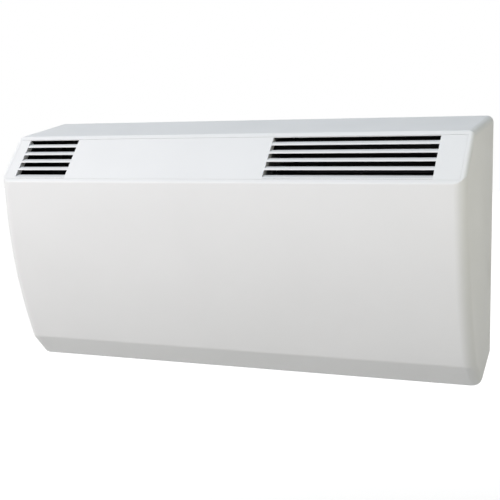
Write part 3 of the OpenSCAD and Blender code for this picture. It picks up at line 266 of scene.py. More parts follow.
# Puts points and faces into a mesh object at the origin; points that no face uses are dropped
def addPiece(name, points, quads, triangles, looks, lookOf=None, sharpAngle=35):
    corners = np.concatenate([quads.ravel(), triangles.ravel()])
    used, corners = np.unique(corners, return_inverse=True)
    sizes = np.concatenate([np.full(len(quads), 4), np.full(len(triangles), 3)])
    mesh = bpy.data.meshes.new(name)
    mesh.vertices.add(len(used))
    mesh.vertices.foreach_set("co", (points[used] * mm).astype(np.float32).ravel())
    mesh.loops.add(len(corners))
    mesh.loops.foreach_set("vertex_index", corners.astype(np.int32))
    mesh.polygons.add(len(sizes))
    mesh.polygons.foreach_set("loop_start", (np.cumsum(sizes) - sizes).astype(np.int32))
    for look in looks:
        mesh.materials.append(finishes[look])
    if lookOf is not None:
        mesh.polygons.foreach_set("material_index", lookOf.astype(np.int32))
    mesh.update(calc_edges=True)
    mesh.validate()
    mesh.shade_smooth()
    mesh.set_sharp_from_angle(angle=math.radians(sharpAngle))
    piece = bpy.data.objects.new(name, mesh)
    scene.collection.objects.link(piece)
    return piece


noTriangles = np.zeros((0, 3), int)


# Quads between neighbouring rows of a grid; wrap closes each row on itself
def gridQuads(rows, columns, wrap=False):
    ids = np.arange(rows * columns).reshape(rows, columns)
    if wrap:
        ids = np.concatenate([ids, ids[:, :1]], axis=1)
    return np.stack([ids[:-1, :-1], ids[:-1, 1:], ids[1:, 1:], ids[1:, :-1]], axis=-1)


# Sheet with thickness: the outer faces, the same faces turned round on the inner points, and a strip
# of quads along every edge that only one outer face has. Says which faces lie inside.
def openShell(outer, inner, quads, triangles=noTriangles):
    count = len(outer)
    edges = np.concatenate([np.stack([f, np.roll(f, -1, axis=1)], axis=2).reshape(-1, 2)
                            for f in (quads, triangles)])
    lonely = ~np.isin(edges[:, 0] * count + edges[:, 1], edges[:, 1] * count + edges[:, 0])
    start, end = edges[lonely].T
    strip = np.stack([end, start, start + count, end + count], axis=1)
    allQuads = np.concatenate([quads, strip, quads[:, ::-1] + count])
    allTriangles = np.concatenate([triangles, triangles[:, ::-1] + count])
    inside = np.concatenate([np.arange(len(allQuads)) >= len(quads) + len(strip),
                             np.arange(len(allTriangles)) >= len(triangles)])
    return np.concatenate([outer, inner]), allQuads, allTriangles, inside


# Boxes from rows of low and high corners: the eight corners of each, and its six faces
cornerBits = np.array([[i & 1, i >> 1 & 1, i >> 2 & 1] for i in range(8)])
boxFaces = np.array([[0, 2, 3, 1], [4, 5, 7, 6], [0, 1, 5, 4],
                     [2, 6, 7, 3], [0, 4, 6, 2], [1, 3, 7, 5]])


def boxes(low, high):
    low = np.asarray(low, float)
    high = np.asarray(high, float)
    points = low[:, None] + (high - low)[:, None] * cornerBits
    faces = boxFaces + len(cornerBits) * np.arange(len(low))[:, None, None]
    return points.reshape(-1, 3), faces.reshape(-1, 4)


# Several sets of points and quads as one
def together(*parts):
    starts = np.cumsum([0] + [len(points) for points, faces in parts[:-1]])
    return (np.concatenate([points for points, faces in parts]),
            np.concatenate([faces + start for (points, faces), start in zip(parts, starts)]))


# A plane's vectors are rows of [y, z]; left is the way a quarter turn on from u
def left(u):
    return np.stack([-u[..., 1], u[..., 0]], axis=-1)


def cross2(a, b):
    return a[..., 0] * b[..., 1] - a[..., 1] * b[..., 0]


def meet(p, u, q, v):
    return p + u * (cross2(q - p, v) / cross2(u, v))[..., None]


def unit(v):
    return v / np.linalg.norm(v, axis=-1, keepdims=True)


def polar(r, angle):
    return np.stack([r * np.cos(angle), r * np.sin(angle)], axis=-1)


# Arc in each row that rounds the corner p between the ways u and v: the inward side of u is turned
# step by step through the corner's angle, about a centre that lies r from both sides
def rounding(p, u, v, r, steps):
    u, v = np.broadcast_arrays(u, v)
    turn = np.arctan2(cross2(u, v), (u * v).sum(-1)) + 0 * r
    centre = p - u * (r * np.tan(turn / 2))[:, None] + left(u) * r[:, None]
    a = turn[:, None] * np.linspace(0, 1, steps + 1)
    n = left(u) + 0 * p
    swung = np.stack([n[:, :1] * np.cos(a) - n[:, 1:] * np.sin(a),
                      n[:, :1] * np.sin(a) + n[:, 1:] * np.cos(a)], axis=-1)
    return centre[:, None] - swung * r[:, None, None]


def boxOf(node):
    low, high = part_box(node)
    return np.array(low) / mm, np.array(high) / mm


def dress(piece, body, node):
    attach(piece, body)
    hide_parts(node)
    print(node + ":", len(piece.data.polygons), "faces")


# Casing
casingSizes = {
    "length": 700, "depth": 164, "top": 180,
    "topDepth": 112, "topFall": 23.5,        # the sloping top
    "grilleDrop": 91.5,                      # top edge down to the crease under the grille
    "bowRadius": 630, "bowLean": 4.75,       # the bowed front
    "lipDrop": 333, "keelDepth": 55, "keelDrop": 367, "backDrop": 331,
    "wall": 2.5,
    "endRadii": (9, 6, 16.5, 14, 7),         # at the ends of the top, grille, front, lip and underside
    "creaseRadius": 3, "lipRadius": 15, "keelRadius": 12, "leastRadius": 0.5,
    "creaseSteps": 8, "lipSteps": 10, "keelSteps": 16, "bowSteps": 64, "endSteps": 12, "rimSteps": 3,
    "support": 1.5,                          # grid line beside each rounding
    "leastRim": 0.3,                         # over and under the panel
    "seam": 0.3, "endSeam": 0.1,             # above and below the panel, and at its ends
    "slack": 0.3,                            # round the filter
    "panelMargin": 7, "panelFoot": 6.2,      # from the creases to the panel's edges
    "pipeMargin": 25,                        # the pipe opening past the tails
    "switchHole": (6.75, 10.4),              # half width and half height
    "ribs": 6, "ribSpan": 301.5,             # hooks under the top, and the last one's x
    "ribWidth": 20, "ribThickness": 3, "ribBack": -10.7, "ribFoot": 170.3,
}
c = casingSizes
topBack = np.array([0, c["top"]], float)
topCrease = topBack - [c["topDepth"], c["topFall"]]
frontCrease = np.array([-c["depth"], c["top"] - c["grilleDrop"]])
bowCentre = frontCrease + polar(c["bowRadius"], math.radians(c["bowLean"]))
lipAngle = math.asin((bowCentre[1] - c["top"] + c["lipDrop"]) / c["bowRadius"])
lipCrease = bowCentre - polar(c["bowRadius"], lipAngle)
keel = np.array([-c["keelDepth"], c["top"] - c["keelDrop"]])
underBack = np.array([0, c["top"] - c["backDrop"]], float)
alongTop = unit(topCrease - topBack)
alongGrille = unit(frontCrease - topCrease)
alongLip = unit(keel - lipCrease)
alongUnder = unit(underBack - keel)
panelEdges = np.array([c["panelMargin"], np.linalg.norm(frontCrease - topCrease) - c["panelFoot"]])
wallPlane = np.array([0.0, 0.0]), np.array([0.0, 1.0])


# Where a line leaves (side 1) or enters (side -1) the bowed front's circle
def onBow(p, u, r, side):
    s = ((bowCentre - p) * u).sum(-1)
    away = np.linalg.norm(p + u * s[:, None] - bowCentre, axis=-1)
    return p + u * (s + side * np.sqrt(r * r - away * away))[:, None]


# Points between the rows p and q, at distances measured on the main row; a minus counts back from q
def between(p, q, distances, main):
    run = np.linalg.norm(q[main] - p[main])
    share = np.array([(x + run if x < 0 else x) / run for x in distances])
    return p[:, None] + (q - p)[:, None] * share[:, None]


# Rows of the side profile: in each the top, the grille, the bowed front, the lip and the underside move
# inwards by the row's five insets, and arcs whose radius shrinks with these join them. Gives the rows
# and, for the grille and the underside, the column where its inner points start.
def profileRows(insets, main, underEdges):
    bow = c["bowRadius"] - insets[:, 2]
    pTop = topBack + left(alongTop) * insets[:, :1]
    pGrille = topCrease + left(alongGrille) * insets[:, 1:2]
    pLip = keel + left(alongLip) * insets[:, 3:4]
    pUnder = keel + left(alongUnder) * insets[:, 4:]
    a = meet(pTop, alongTop, pGrille, alongGrille)
    b = onBow(pGrille, alongGrille, bow, 1)
    e = onBow(pLip, alongLip, bow, -1)
    k = meet(pLip, alongLip, pUnder, alongUnder)
    angleB = np.arcsin((bowCentre[1] - b[:, 1]) / bow)
    angleE = np.arcsin((bowCentre[1] - e[:, 1]) / bow)
    radii = np.array([c["creaseRadius"], c["lipRadius"], c["keelRadius"]])
    crease, lip, low = np.maximum(radii - insets[:, [1, 3, 4]], c["leastRadius"]).T
    arcA = rounding(a, alongTop, alongGrille, crease, c["creaseSteps"])
    arcB = rounding(b, alongGrille, -left(polar(1, angleB)), crease, c["creaseSteps"])
    arcE = rounding(e, -left(polar(1, angleE)), alongLip, lip, c["lipSteps"])
    arcK = rounding(k, alongLip, alongUnder, low, c["keelSteps"])
    first = meet(pTop, alongTop, *wallPlane)
    last = meet(pUnder, alongUnder, *wallPlane)
    support = c["support"]
    # The panel's edges stay level as the grille's head and foot draw together towards the ends
    start = (arcA[:, -1] - topCrease) @ alongGrille
    run = np.linalg.norm(arcB[:, 0] - arcA[:, -1], axis=1)
    upperEdge = np.maximum(panelEdges[0] - c["seam"] - start, c["leastRim"])
    lowerEdge = np.minimum(panelEdges[1] + c["seam"] - start, run - c["leastRim"])
    down = np.stack([np.minimum(support, upperEdge / 2), upperEdge, lowerEdge,
                     np.maximum(run - support, (lowerEdge + run) / 2)], axis=1)
    under = (np.array(underEdges) - arcK[main, -1, 0]) / alongUnder[0]
    upper = np.arcsin((bowCentre[1] - arcB[:, -1, 1]) / bow) + support / bow
    lower = np.arcsin((bowCentre[1] - arcE[:, 0, 1]) / bow) - support / bow
    angles = upper[:, None] + (lower - upper)[:, None] * np.linspace(0, 1, c["bowSteps"])
    blocks = [first[:, None], between(first, arcA[:, 0], [-support], main), arcA,
              arcA[:, -1:] + alongGrille * down[..., None], arcB,
              bowCentre - polar(bow[:, None], angles), arcE,
              between(arcE[:, -1], arcK[:, 0], [support, -support], main), arcK,
              between(arcK[:, -1], last, under, main), last[:, None]]
    starts = np.cumsum([0] + [block.shape[1] for block in blocks])
    grilleAt, underAt = starts[3], starts[9]     # the blocks with down and under in them
    return np.concatenate(blocks, axis=1), grilleAt, underAt


# Casing wall at one inset: the profile carried along x between two ends, where each face turns by a
# quarter round of its own radius, with a flat ring inside each end's rim. lines are the x of the grid
# lines between the ends.
def casingGrid(inset, lines, underEdges, panelHalf):
    half = c["length"] / 2 - inset
    radii = np.array(c["endRadii"]) - inset
    r, q = radii.max(), radii.min()
    panelReach = panelHalf - half + r
    quarter = np.linspace(0, math.pi / 2, c["endSteps"] + 1)[1:]
    t = np.concatenate([np.linspace(0, panelReach, c["endSteps"]),
                        np.linspace(panelReach, r - q, c["rimSteps"] + 1)[1:],
                        r - q + q * np.sin(quarter)])
    endX = np.append(half - r + t, half)
    past = np.maximum(t[:, None] - r + radii, 0)
    falls = radii - np.sqrt(np.maximum(radii ** 2 - past ** 2, 0))
    ends = inset + np.append(falls, [radii + c["support"]], axis=0)
    flat = np.full((len(lines), len(radii)), inset, float)
    x = np.concatenate([-endX[::-1], lines, endX])
    insets = np.concatenate([ends[::-1], flat, ends])
    rows, grilleAt, underAt = profileRows(insets, len(endX), underEdges)
    across = np.broadcast_to(x[:, None, None], (*rows.shape[:2], 1))
    return x, np.concatenate([across, rows], axis=2), grilleAt, underAt


# Flat end: the ring of points filled in, round any holes, and turned to face along side
def endCap(ring, ringStart, holes, holeStart, side):
    loops = [ring, *holes]
    flat = np.concatenate(loops)
    ids = np.append(ringStart + np.arange(len(ring)), holeStart + np.arange(len(flat) - len(ring)))
    triangles = np.array(tessellate_polygon([np.insert(loop, 2, 0, axis=1) for loop in loops]))
    p, q, r = flat[triangles].transpose(1, 0, 2)
    wrong = cross2(q - p, r - p) * side < 0
    triangles[wrong] = triangles[wrong][:, ::-1]
    return ids[triangles]


def makeCasing():
    slack = c["slack"]
    filterLow, filterHigh = boxOf("filter_frame")
    flow, back = boxOf("flow_tail"), boxOf("return_tail")
    tail = (flow[1][1] - flow[0][1]) / 2
    pipeSpan = flow[0][0] + tail - c["pipeMargin"], back[0][0] + tail + c["pipeMargin"]
    filterSpan = filterLow[0] - slack, filterHigh[0] + slack
    underEdges = filterLow[1] - slack, filterHigh[1] + slack
    panelHalf = boxOf("grille_panel")[1][0] + c["endSeam"]
    lines = np.array([*pipeSpan, *filterSpan])
    x, outer, grilleAt, underAt = casingGrid(0, lines, underEdges, panelHalf)
    _, inner, _, _ = casingGrid(c["wall"], lines, underEdges, panelHalf)
    rows, columns = outer.shape[:2]
    middle = ((x[:-1] + x[1:]) / 2)[:, None]
    column = np.arange(columns - 1)
    keep = np.ones((rows - 1, columns - 1), bool)
    keep &= ~((np.abs(middle) < panelHalf) & (column == grilleAt + 1))
    keep &= ~((middle > pipeSpan[0]) & (middle < pipeSpan[1]) & (column >= underAt))
    keep &= ~((middle > filterSpan[0]) & (middle < filterSpan[1]) & (column == underAt))
    quads = gridQuads(rows, columns)[keep]
    # Holes for the two switches in the left end
    hole = np.array([[-1, -1], [1, -1], [1, 1], [-1, 1]]) * c["switchHole"]
    holes = [hole + np.mean(boxOf(node), axis=0)[1:] for node in ("power_switch", "speed_switch")]
    holePoints = np.concatenate(holes)
    total = rows * columns
    leftCap = endCap(outer[0, :, 1:], 0, holes, total, -1)
    rightCap = endCap(outer[-1, :, 1:], total - columns, [], total, 1)
    walls = [np.concatenate([grid.reshape(-1, 3), np.insert(holePoints, 0, grid[0, 0, 0], axis=1)])
             for grid in (outer, inner)]
    points, quads, triangles, inside = openShell(*walls, quads, np.concatenate([leftCap, rightCap]))
    # Ribs under the top that drop behind the back plate's lip
    centre = np.linspace(-c["ribSpan"], c["ribSpan"], c["ribs"])
    ribBack = c["ribBack"] - c["ribThickness"]
    ribTop = (topBack + left(alongTop) * c["wall"] / 2 + alongTop * -ribBack / abs(alongTop[0]))[1]
    ribLow = [(x0 - c["ribWidth"] / 2, ribBack, c["ribFoot"]) for x0 in centre]
    ribHigh = [(x0 + c["ribWidth"] / 2, c["ribBack"], ribTop) for x0 in centre]
    shellQuads = len(quads)
    points, quads = together((points, quads), boxes(ribLow, ribHigh))
    # The ribs and the inside faces take the near-black painted shade finish, and the outside faces take
    # the white
    onRibs = np.ones(len(quads) - shellQuads, bool)
    lookOf = np.concatenate([inside[:shellQuads], onRibs, inside[shellQuads:]])
    return addPiece("casing_shell", points, quads, triangles, ["casing_white", "painted_shade_lining"], lookOf)


dress(makeCasing(), "chassis", "casing")

# Grille panel
panelSizes = {
    "thickness": 2.5,
    "groups": ((-325.5, -239.5), (74, 307)),  # the louvre groups, along x
    "rim": 0.8, "rimThickness": 1.0,         # above the first gap
    "blades": 4, "bladeThickness": 1.8, "bladeLength": 7,
    "bladeRise": 20,                         # degrees, up and inwards
    "sillRim": 1.1, "sillThickness": 1.2, "sillLength": 8.5,
    "ribDepth": 9, "ribThickness": 2,
    "ledgeWidth": 3.5, "ledgeThickness": 1.5, "ledgeEndGap": 16.5, "ledgeGap": 0.3,
    "tuck": 0.5,                             # how far a blade's end goes into its rib
    "edge": 0.25, "edgeSteps": 3,            # rounding of every edge
}


# Grille coordinates to the frame: x along the casing, s down the slope from the top crease, n outwards
def onGrille(points):
    yz = topCrease + points[:, 1:2] * alongGrille - points[:, 2:] * left(alongGrille)
    return np.concatenate([points[:, :1], yz], axis=1)


# Louvre blades: one parallelogram, leaning up and inwards from its nose in the face, repeated down the
# slope so that the noses end at the given distances, and carried along x across its group
bladeSlant = math.atan2(-alongGrille[1], -alongGrille[0]) - math.radians(panelSizes["bladeRise"])


def louvreBlades(group, noses, thickness, length):
    nose = thickness / math.sin(bladeSlant)
    back = length * np.array([-math.cos(bladeSlant), -math.sin(bladeSlant)])
    outline = np.array([[-nose, 0], [0, 0], back, back - [nose, 0]])
    ends = np.array([group[0] - panelSizes["tuck"], group[1] + panelSizes["tuck"]])
    points = np.zeros((len(noses), len(ends), len(outline), 3))
    points[..., 0] = ends[:, None]
    points[..., 1:] = outline
    points[..., 1] += noses[:, None, None]
    sides = gridQuads(len(ends), len(outline), wrap=True).reshape(-1, 4)
    faces = np.concatenate([sides, [[3, 2, 1, 0], [4, 5, 6, 7]]])
    quads = faces + 2 * len(outline) * np.arange(len(noses))[:, None, None]
    return points.reshape(-1, 3), quads.reshape(-1, 4)


def makePanel():
    p = panelSizes
    half = boxOf("grille_panel")[1][0]
    upper, lower = panelEdges
    top, bottom = upper + p["rim"], lower - p["sillRim"]
    noses = np.linspace(top, bottom, p["blades"] + 2)[1:]
    # Plate with the two groups cut out, and its rim above them thinned from behind
    groups = np.array(p["groups"])
    sides = np.stack([groups[:, 0] - p["ribThickness"], groups[:, 1]], axis=1).ravel()
    x = np.unique([-half, *sides, *groups.ravel(), *groups[:, 1] + p["ribThickness"], half])
    s = np.array([upper, top, bottom, lower])
    grid = np.stack(np.meshgrid(x, s, indexing="ij"), axis=-1)
    inGroup = np.isin(x, groups)
    depth = np.full(grid.shape[:2], p["thickness"])
    depth[inGroup, :2] = p["rimThickness"]
    face = np.concatenate([grid, 0 * depth[..., None]], axis=-1).reshape(-1, 3)
    behind = np.concatenate([grid, -depth[..., None]], axis=-1).reshape(-1, 3)
    cells = gridQuads(len(x), len(s))
    keep = np.ones(cells.shape[:2], bool)
    keep[inGroup[:-1] & inGroup[1:], 1] = False
    plate, plateQuads, _, _ = openShell(face, behind, cells[keep])
    # Ribs beside the groups, and ledges that catch behind the casing: the lower one runs along the
    # panel, the upper one only between the groups and to the right of them
    slack, middle = casingSizes["slack"], -p["thickness"] / 2
    ribLow = [(x0, upper + slack, -p["ribDepth"]) for x0 in sides]
    ribHigh = [(x0 + p["ribThickness"], lower - slack, middle) for x0 in sides]
    ledgeX = half - p["ledgeEndGap"]
    ledgeTop = -casingSizes["wall"] - p["ledgeGap"]
    ledgeFoot, webFoot = ledgeTop - p["ledgeThickness"], ledgeTop - p["ledgeThickness"] / 2
    ledgeLow = [(-ledgeX, lower - p["thickness"], ledgeFoot), (-ledgeX, lower - p["rim"], webFoot)]
    ledgeHigh = [(ledgeX, lower + p["ledgeWidth"], ledgeTop), (ledgeX, lower - p["tuck"] / 2, middle)]
    for x0, x1 in zip(groups[:, 1] + p["ribThickness"], (sides[2], ledgeX)):
        ledgeLow += [(x0, upper - p["ledgeWidth"], ledgeFoot), (x0, upper + p["tuck"] / 2, webFoot)]
        ledgeHigh += [(x1, upper + p["thickness"], ledgeTop), (x1, upper + p["rim"], middle)]
    blades = []
    for group in p["groups"]:
        blades += [louvreBlades(group, noses[:-1], p["bladeThickness"], p["bladeLength"]),
                   louvreBlades(group, noses[-1:], p["sillThickness"], p["sillLength"])]
    backing = boxes(ribLow + ledgeLow, ribHigh + ledgeHigh)
    points, quads = together((plate, plateQuads), *blades, backing)
    panel = addPiece("louvre_panel", onGrille(points), quads, noTriangles, ["casing_white"])
    edge = panel.modifiers.new("soft_edges", "BEVEL")
    edge.width = p["edge"] * mm
    edge.segments = p["edgeSteps"]
    edge.limit_method = "ANGLE"
    edge.harden_normals = True
    return panel


dress(makePanel(), "chassis", "grille_panel")


# Closed bodies from grids whose rows are rings; each grid's first and last row is one point, repeated
def ringBodies(name, grids, look, sharpAngle=35):
    quads, triangles, start = [], [], 0
    for grid in grids:
        rows, columns = grid.shape[:2]
        bands = gridQuads(rows, columns, wrap=True) + start
        foot, tip = bands[0][:, [0, 2, 3]], bands[-1][:, :3]
        foot[:, 0] = foot[0, 0]
        tip[:, 2] = tip[0, 2]
        quads.append(bands[1:-1].reshape(-1, 4))
        triangles += [foot, tip]
        start += rows * columns
    points = np.concatenate([grid.reshape(-1, 3) for grid in grids])
    return addPiece(name, points, np.concatenate(quads), np.concatenate(triangles), [look],
                    sharpAngle=sharpAngle)


# Screws
screwSizes = {
    "head": 4, "headHeight": 2.4,
    "crown": 2.6,                            # power of the head's superellipse
    "shank": 2, "thread": 0.35, "pitch": 1.25,
    "neck": 0.55,                            # plain shank under the head
    "tip": 2, "blunt": 0.2,                  # length of the tip, and its end's share of the shank
    "slotHalf": 0.55, "slotReach": 2.4, "slotDepth": 1.5, "slotSlope": 0.25,
    "octant": 3,                             # columns on each side of a slot's edge, in 45 degrees
    "threadSteps": 6, "crownSteps": 8, "slotSteps": 5,
    "turn": 37,                              # degrees from one screw's cross to the next
    "aside": (0.3, 0.5, 0.8),                # a way that no screw points
    "casingLength": 7, "casingReach": 14,    # shank under the casing, and how far it is from the wall
    "motorScrews": 3,
}


# One screw with its head along z and its seat at z = 0. The radius of the shank follows a wave that
# climbs one pitch a turn. The head is a superellipse turned about z, and its cross sinks where the
# distance from either slot's middle line is less than half a slot. The columns crowd together so that
# they follow the slots' edges.
def screwGrid(length):
    s = screwSizes
    k, power = s["head"], s["crown"]
    rim = np.linspace(0, math.pi / 4, s["crownSteps"])
    rim = np.cos(rim) * (np.cos(rim) ** power + np.sin(rim) ** power) ** (-1 / power)
    floor = s["slotReach"] - s["slotSlope"]
    top = np.array([*k * rim, s["slotReach"], *np.linspace(floor, 0, s["slotSteps"])])
    turns = (length - s["neck"]) / s["pitch"]
    z = np.linspace(-length, -s["neck"], int(turns * s["threadSteps"]) + 2)
    # Angles of the columns, row by row: an eighth of a turn, its mirror image, and the four quarters
    reach = np.concatenate([np.full(len(z) + 2, k), np.maximum(top, s["slotHalf"])])
    edge = np.arcsin(np.minimum(s["slotHalf"] / reach, math.sin(math.pi / 4)))[:, None]
    share = np.linspace(0, 1, s["octant"] + 1)[:-1]
    eighth = np.concatenate([edge * share, edge + (math.pi / 4 - edge) * share], axis=1)
    mirror = math.pi / 2 - np.concatenate([0 * edge + math.pi / 4, eighth[:, :0:-1]], axis=1)
    quarter = np.concatenate([eighth, mirror], axis=1)
    angle = np.concatenate([quarter + i * math.pi / 2 for i in range(4)], axis=1)
    wave = (1 + np.cos(2 * math.pi * z[:, None] / s["pitch"] - angle[:len(z)])) / 2
    taper = np.minimum(1, s["blunt"] + (z[:, None] + length) / min(s["tip"], length))
    shank = (s["shank"] - s["thread"] * wave) * taper
    level = np.ones((1, angle.shape[1]))
    radius = np.concatenate([0 * level, shank, s["shank"] * level, top[:, None] * level])
    crown = s["headHeight"] * (1 - (top / k) ** power) ** (1 / power)
    side = np.minimum(np.abs(np.sin(angle)), np.abs(np.cos(angle)))[-len(top):] * top[:, None]
    sunk = np.clip((s["slotHalf"] - side) / s["slotSlope"], 0, 1)
    sunk = sunk * np.clip((s["slotReach"] - top[:, None]) / s["slotSlope"], 0, 1)
    deep = s["slotDepth"] * (1 - top[:, None] / (2 * s["slotReach"]))
    height = np.concatenate([-length * level, z[:, None] * level, 0 * level,
                             crown[:, None] - sunk * deep])
    return np.stack([radius * np.cos(angle), radius * np.sin(angle), height], axis=-1)


# Copies of one screw at the seats, with their heads along way
def makeScrews(node, length, seats, way):
    way = np.array(way, float)
    along = unit(np.cross(way, screwSizes["aside"]))
    across = np.cross(way, along)
    grid = screwGrid(length)
    a = np.radians(screwSizes["turn"]) * np.arange(len(seats))[:, None, None]
    x, y, z = np.moveaxis(grid, -1, 0)
    spun = np.stack([x * np.cos(a) - y * np.sin(a), x * np.sin(a) + y * np.cos(a), z + 0 * a], axis=-1)
    placed = spun @ np.stack([along, across, way]) + np.array(seats)[:, None, None]
    dress(ringBodies(node + "_cross_head", placed, "steel"), "chassis", node)


def placeScrews():
    head, height = screwSizes["head"], screwSizes["headHeight"]
    low, high = boxOf("casing_screws")
    spot = underBack - alongUnder * screwSizes["casingReach"]
    seats = [(x, *spot) for x in (low[0] + head, high[0] - head)]
    makeScrews("casing_screws", screwSizes["casingLength"], seats, (0, *-left(alongUnder)))
    low, high = boxOf("lid_screws")
    seats = [(low[0] + head, low[1] + height, z) for z in (low[2] + head, high[2] - head)]
    makeScrews("lid_screws", high[1] - low[1] - height, seats, (0, -1, 0))
    low, high = boxOf("side_plate_screws")
    seats = [(x, low[1] + height, z) for x in (low[0] + head, high[0] - head)
             for z in (low[2] + head, high[2] - head)]
    makeScrews("side_plate_screws", high[1] - low[1] - height, seats, (0, -1, 0))
    # Three round the fan's axis, the first straight above it
    low, high = boxOf("motor_screws")
    count = screwSizes["motorScrews"]
    spots = polar(1, math.pi / 2 + 2 * math.pi * np.arange(count) / count)
    ring = (high[2] - low[2] - 2 * head) / np.ptp(spots[:, 1])
    axis = np.array([(low[1] + high[1]) / 2, high[2] - head - ring])
    seats = [(low[0] + height, *spot) for spot in axis + ring * spots]
    makeScrews("motor_screws", high[0] - low[0] - height, seats, (-1, 0, 0))


placeScrews()

# Rockers
rockerSizes = {
    "width": 9.9, "half": 7.4,               # half its height
    "crown": 4.7, "dip": 3.4,                # from the pin out to the face's edges and to its middle
    "shoulder": 0.5,                         # where the sides turn in
    "foot": (2, 4.5),                        # half width, and how far in from the pin
    "round": 0.9, "edge": 0.6, "steps": 6, "dishSteps": 20,
    "tilt": 9,                               # degrees, at rest
    "pivot": -2.5,                           # the pin, out from the casing's end
    "pin": 1, "pinSides": 24,
}


# Rocker in its switch's axes, x towards the front, y up and z outwards: a six-sided outline with round
# corners and a parabola for its dished face, carried along x, and drawn in at both edges by a quarter
# round. A round pin runs through it.
def rockerParts(pinHalf):
    r = rockerSizes
    footHalf, footDepth = r["foot"]
    side = np.array([[r["half"], r["crown"]], [r["half"], r["shoulder"]], [footHalf, -footDepth]])
    corners = np.concatenate([side * [-1, 1], side[::-1]])
    hollow = r["crown"] - r["dip"]
    ways = unit(np.roll(corners, -1, axis=0) - corners)
    dish = unit(np.array([[-r["half"], 2 * hollow], [-r["half"], -2 * hollow]]))
    arriving = np.concatenate([dish[:1], ways[:-1]])
    leaving = np.concatenate([ways[:-1], dish[1:]])
    t = np.linspace(0, math.pi / 2, r["steps"])
    inset = r["edge"] * (1 - np.sin(t))
    x = r["width"] / 2 - r["edge"] * (1 - np.cos(t))
    inset, x = np.append(inset, inset[::-1]), np.append(-x, x[::-1])
    arcs = []
    for p, u, v in zip(corners, arriving, leaving):
        moved = meet(p + left(u) * inset[:, None], u, p + left(v) * inset[:, None], v)
        arcs.append(rounding(moved, u, v, r["round"] - inset, r["steps"]))
    first, last = arcs[-1][:, -1:, 0], arcs[0][:, :1, 0]
    y = first + (last - first) * np.linspace(0, 1, r["dishSteps"] + 2)[1:-1]
    face = np.stack([y, r["dip"] - inset[:, None] + hollow * (y / r["half"]) ** 2], axis=-1)
    rings = np.concatenate([*arcs, face], axis=1)
    closed = np.concatenate([0 * rings[:1], rings, 0 * rings[:1]])
    across = np.concatenate([x[:1], x, x[-1:]])[:, None, None] + 0 * closed[..., :1]
    a = np.linspace(0, 2 * math.pi, r["pinSides"], endpoint=False)
    pin = polar(np.array([0, r["pin"], r["pin"], 0])[:, None], a)
    pinX = np.array([-pinHalf, -pinHalf, pinHalf, pinHalf])[:, None, None] + 0 * pin[..., :1]
    return np.concatenate([across, closed], axis=2), np.concatenate([pinX, pin], axis=2)


def makeRocker(node, housing, body):
    low, high = boxOf(node)
    centre = np.mean(boxOf(housing), axis=0)
    end = -casingSizes["length"] / 2
    a = math.radians(rockerSizes["tilt"])
    placed = []
    for grid in rockerParts((high[1] - low[1]) / 2):
        x, y, z = np.moveaxis(grid, -1, 0)
        up = y * math.cos(a) + z * math.sin(a)
        out = z * math.cos(a) - y * math.sin(a) + rockerSizes["pivot"]
        placed.append(np.stack([end - out, centre[1] - x, centre[2] + up], axis=-1))
    dress(ringBodies(node + "_key", placed, "switch_gloss"), body, node)


makeRocker("power_rocker", "power_switch", "power_key")
makeRocker("speed_rocker", "speed_switch", "speed_key")

# Foam strips in front of the coil and behind it
foamSizes = {
    "front": 3.7, "back": 11.7,              # thickness
    "corner": 7, "end": 40,                  # powers of the superellipses across and along the strip
    "columns": 96, "rows": 61,
}


# Points of a unit superellipse in the given directions
def squareRound(angle, power):
    ray = np.stack([np.cos(angle), np.sin(angle)], axis=-1)
    return ray / (np.abs(ray) ** power).sum(-1, keepdims=True) ** (1 / power)


# Strip: a superellipse across, which a second one draws together at the strip's ends
def foamStrip(low, high):
    s = foamSizes
    across = squareRound(np.linspace(0, 2 * math.pi, s["columns"], endpoint=False), s["corner"])
    along = squareRound(np.linspace(-math.pi / 2, math.pi / 2, s["rows"]), s["end"])[:, None]
    grid = np.concatenate([along[..., 1:] + 0 * across[..., :1], along[..., :1] * across], axis=-1)
    return (low + high) / 2 + grid * (high - low) / 2


def makeFoam():
    low, high = boxOf("coil_seals")
    strips = [foamStrip(low, np.array([high[0], low[1] + foamSizes["front"], high[2]])),
              foamStrip(np.array([low[0], high[1] - foamSizes["back"], low[2]]), high)]
    return ringBodies("foam_strips", strips, "foam")


foamStrips = makeFoam()
dress(foamStrips, "chassis", "coil_seals")

# Motor lead, from the motor's back down to its clip and on into the control box
leadSizes = {
    "radius": 2.5, "sides": 24, "bendSteps": 90, "runSteps": 12,
    "guides": ((18.3, -37.95, 72), (18.3, -8.5, 72), (-48.1, -8.5, 45), (-181, -8.5, 45)),
    "end": (-244, -8.5, 45),
}


# Tube: a circle carried along a cubic curve, from the first guide to the last with the other two pulling
# at it, and then straight on, square to its path
def makeLead():
    s = leadSizes
    t = np.linspace(0, 1, s["bendSteps"])[:, None]
    p0, p1, p2, p3 = np.array(s["guides"], float)
    bend = p0 * (1 - t) ** 3 + 3 * p1 * t * (1 - t) ** 2 + 3 * p2 * t ** 2 * (1 - t) + p3 * t ** 3
    run = p3 + (np.array(s["end"]) - p3) * np.linspace(0, 1, s["runSteps"])[1:, None]
    path = np.concatenate([bend, run])
    way = unit(np.gradient(path, axis=0, edge_order=2))
    side = unit(np.cross(way, [0, 0, 1]))
    up = np.cross(way, side)
    a = np.linspace(0, 2 * math.pi, s["sides"], endpoint=False)[:, None]
    rings = path[:, None] + s["radius"] * (side[:, None] * np.cos(a) + up[:, None] * np.sin(a))
    ends = np.repeat(path[[0, -1], None], s["sides"], axis=1)
    tube = np.concatenate([ends[:1], rings, ends[1:]])
    return ringBodies("lead_tube", [tube], "lead_sheath", sharpAngle=60)


dress(makeLead(), "chassis", "motor_lead")

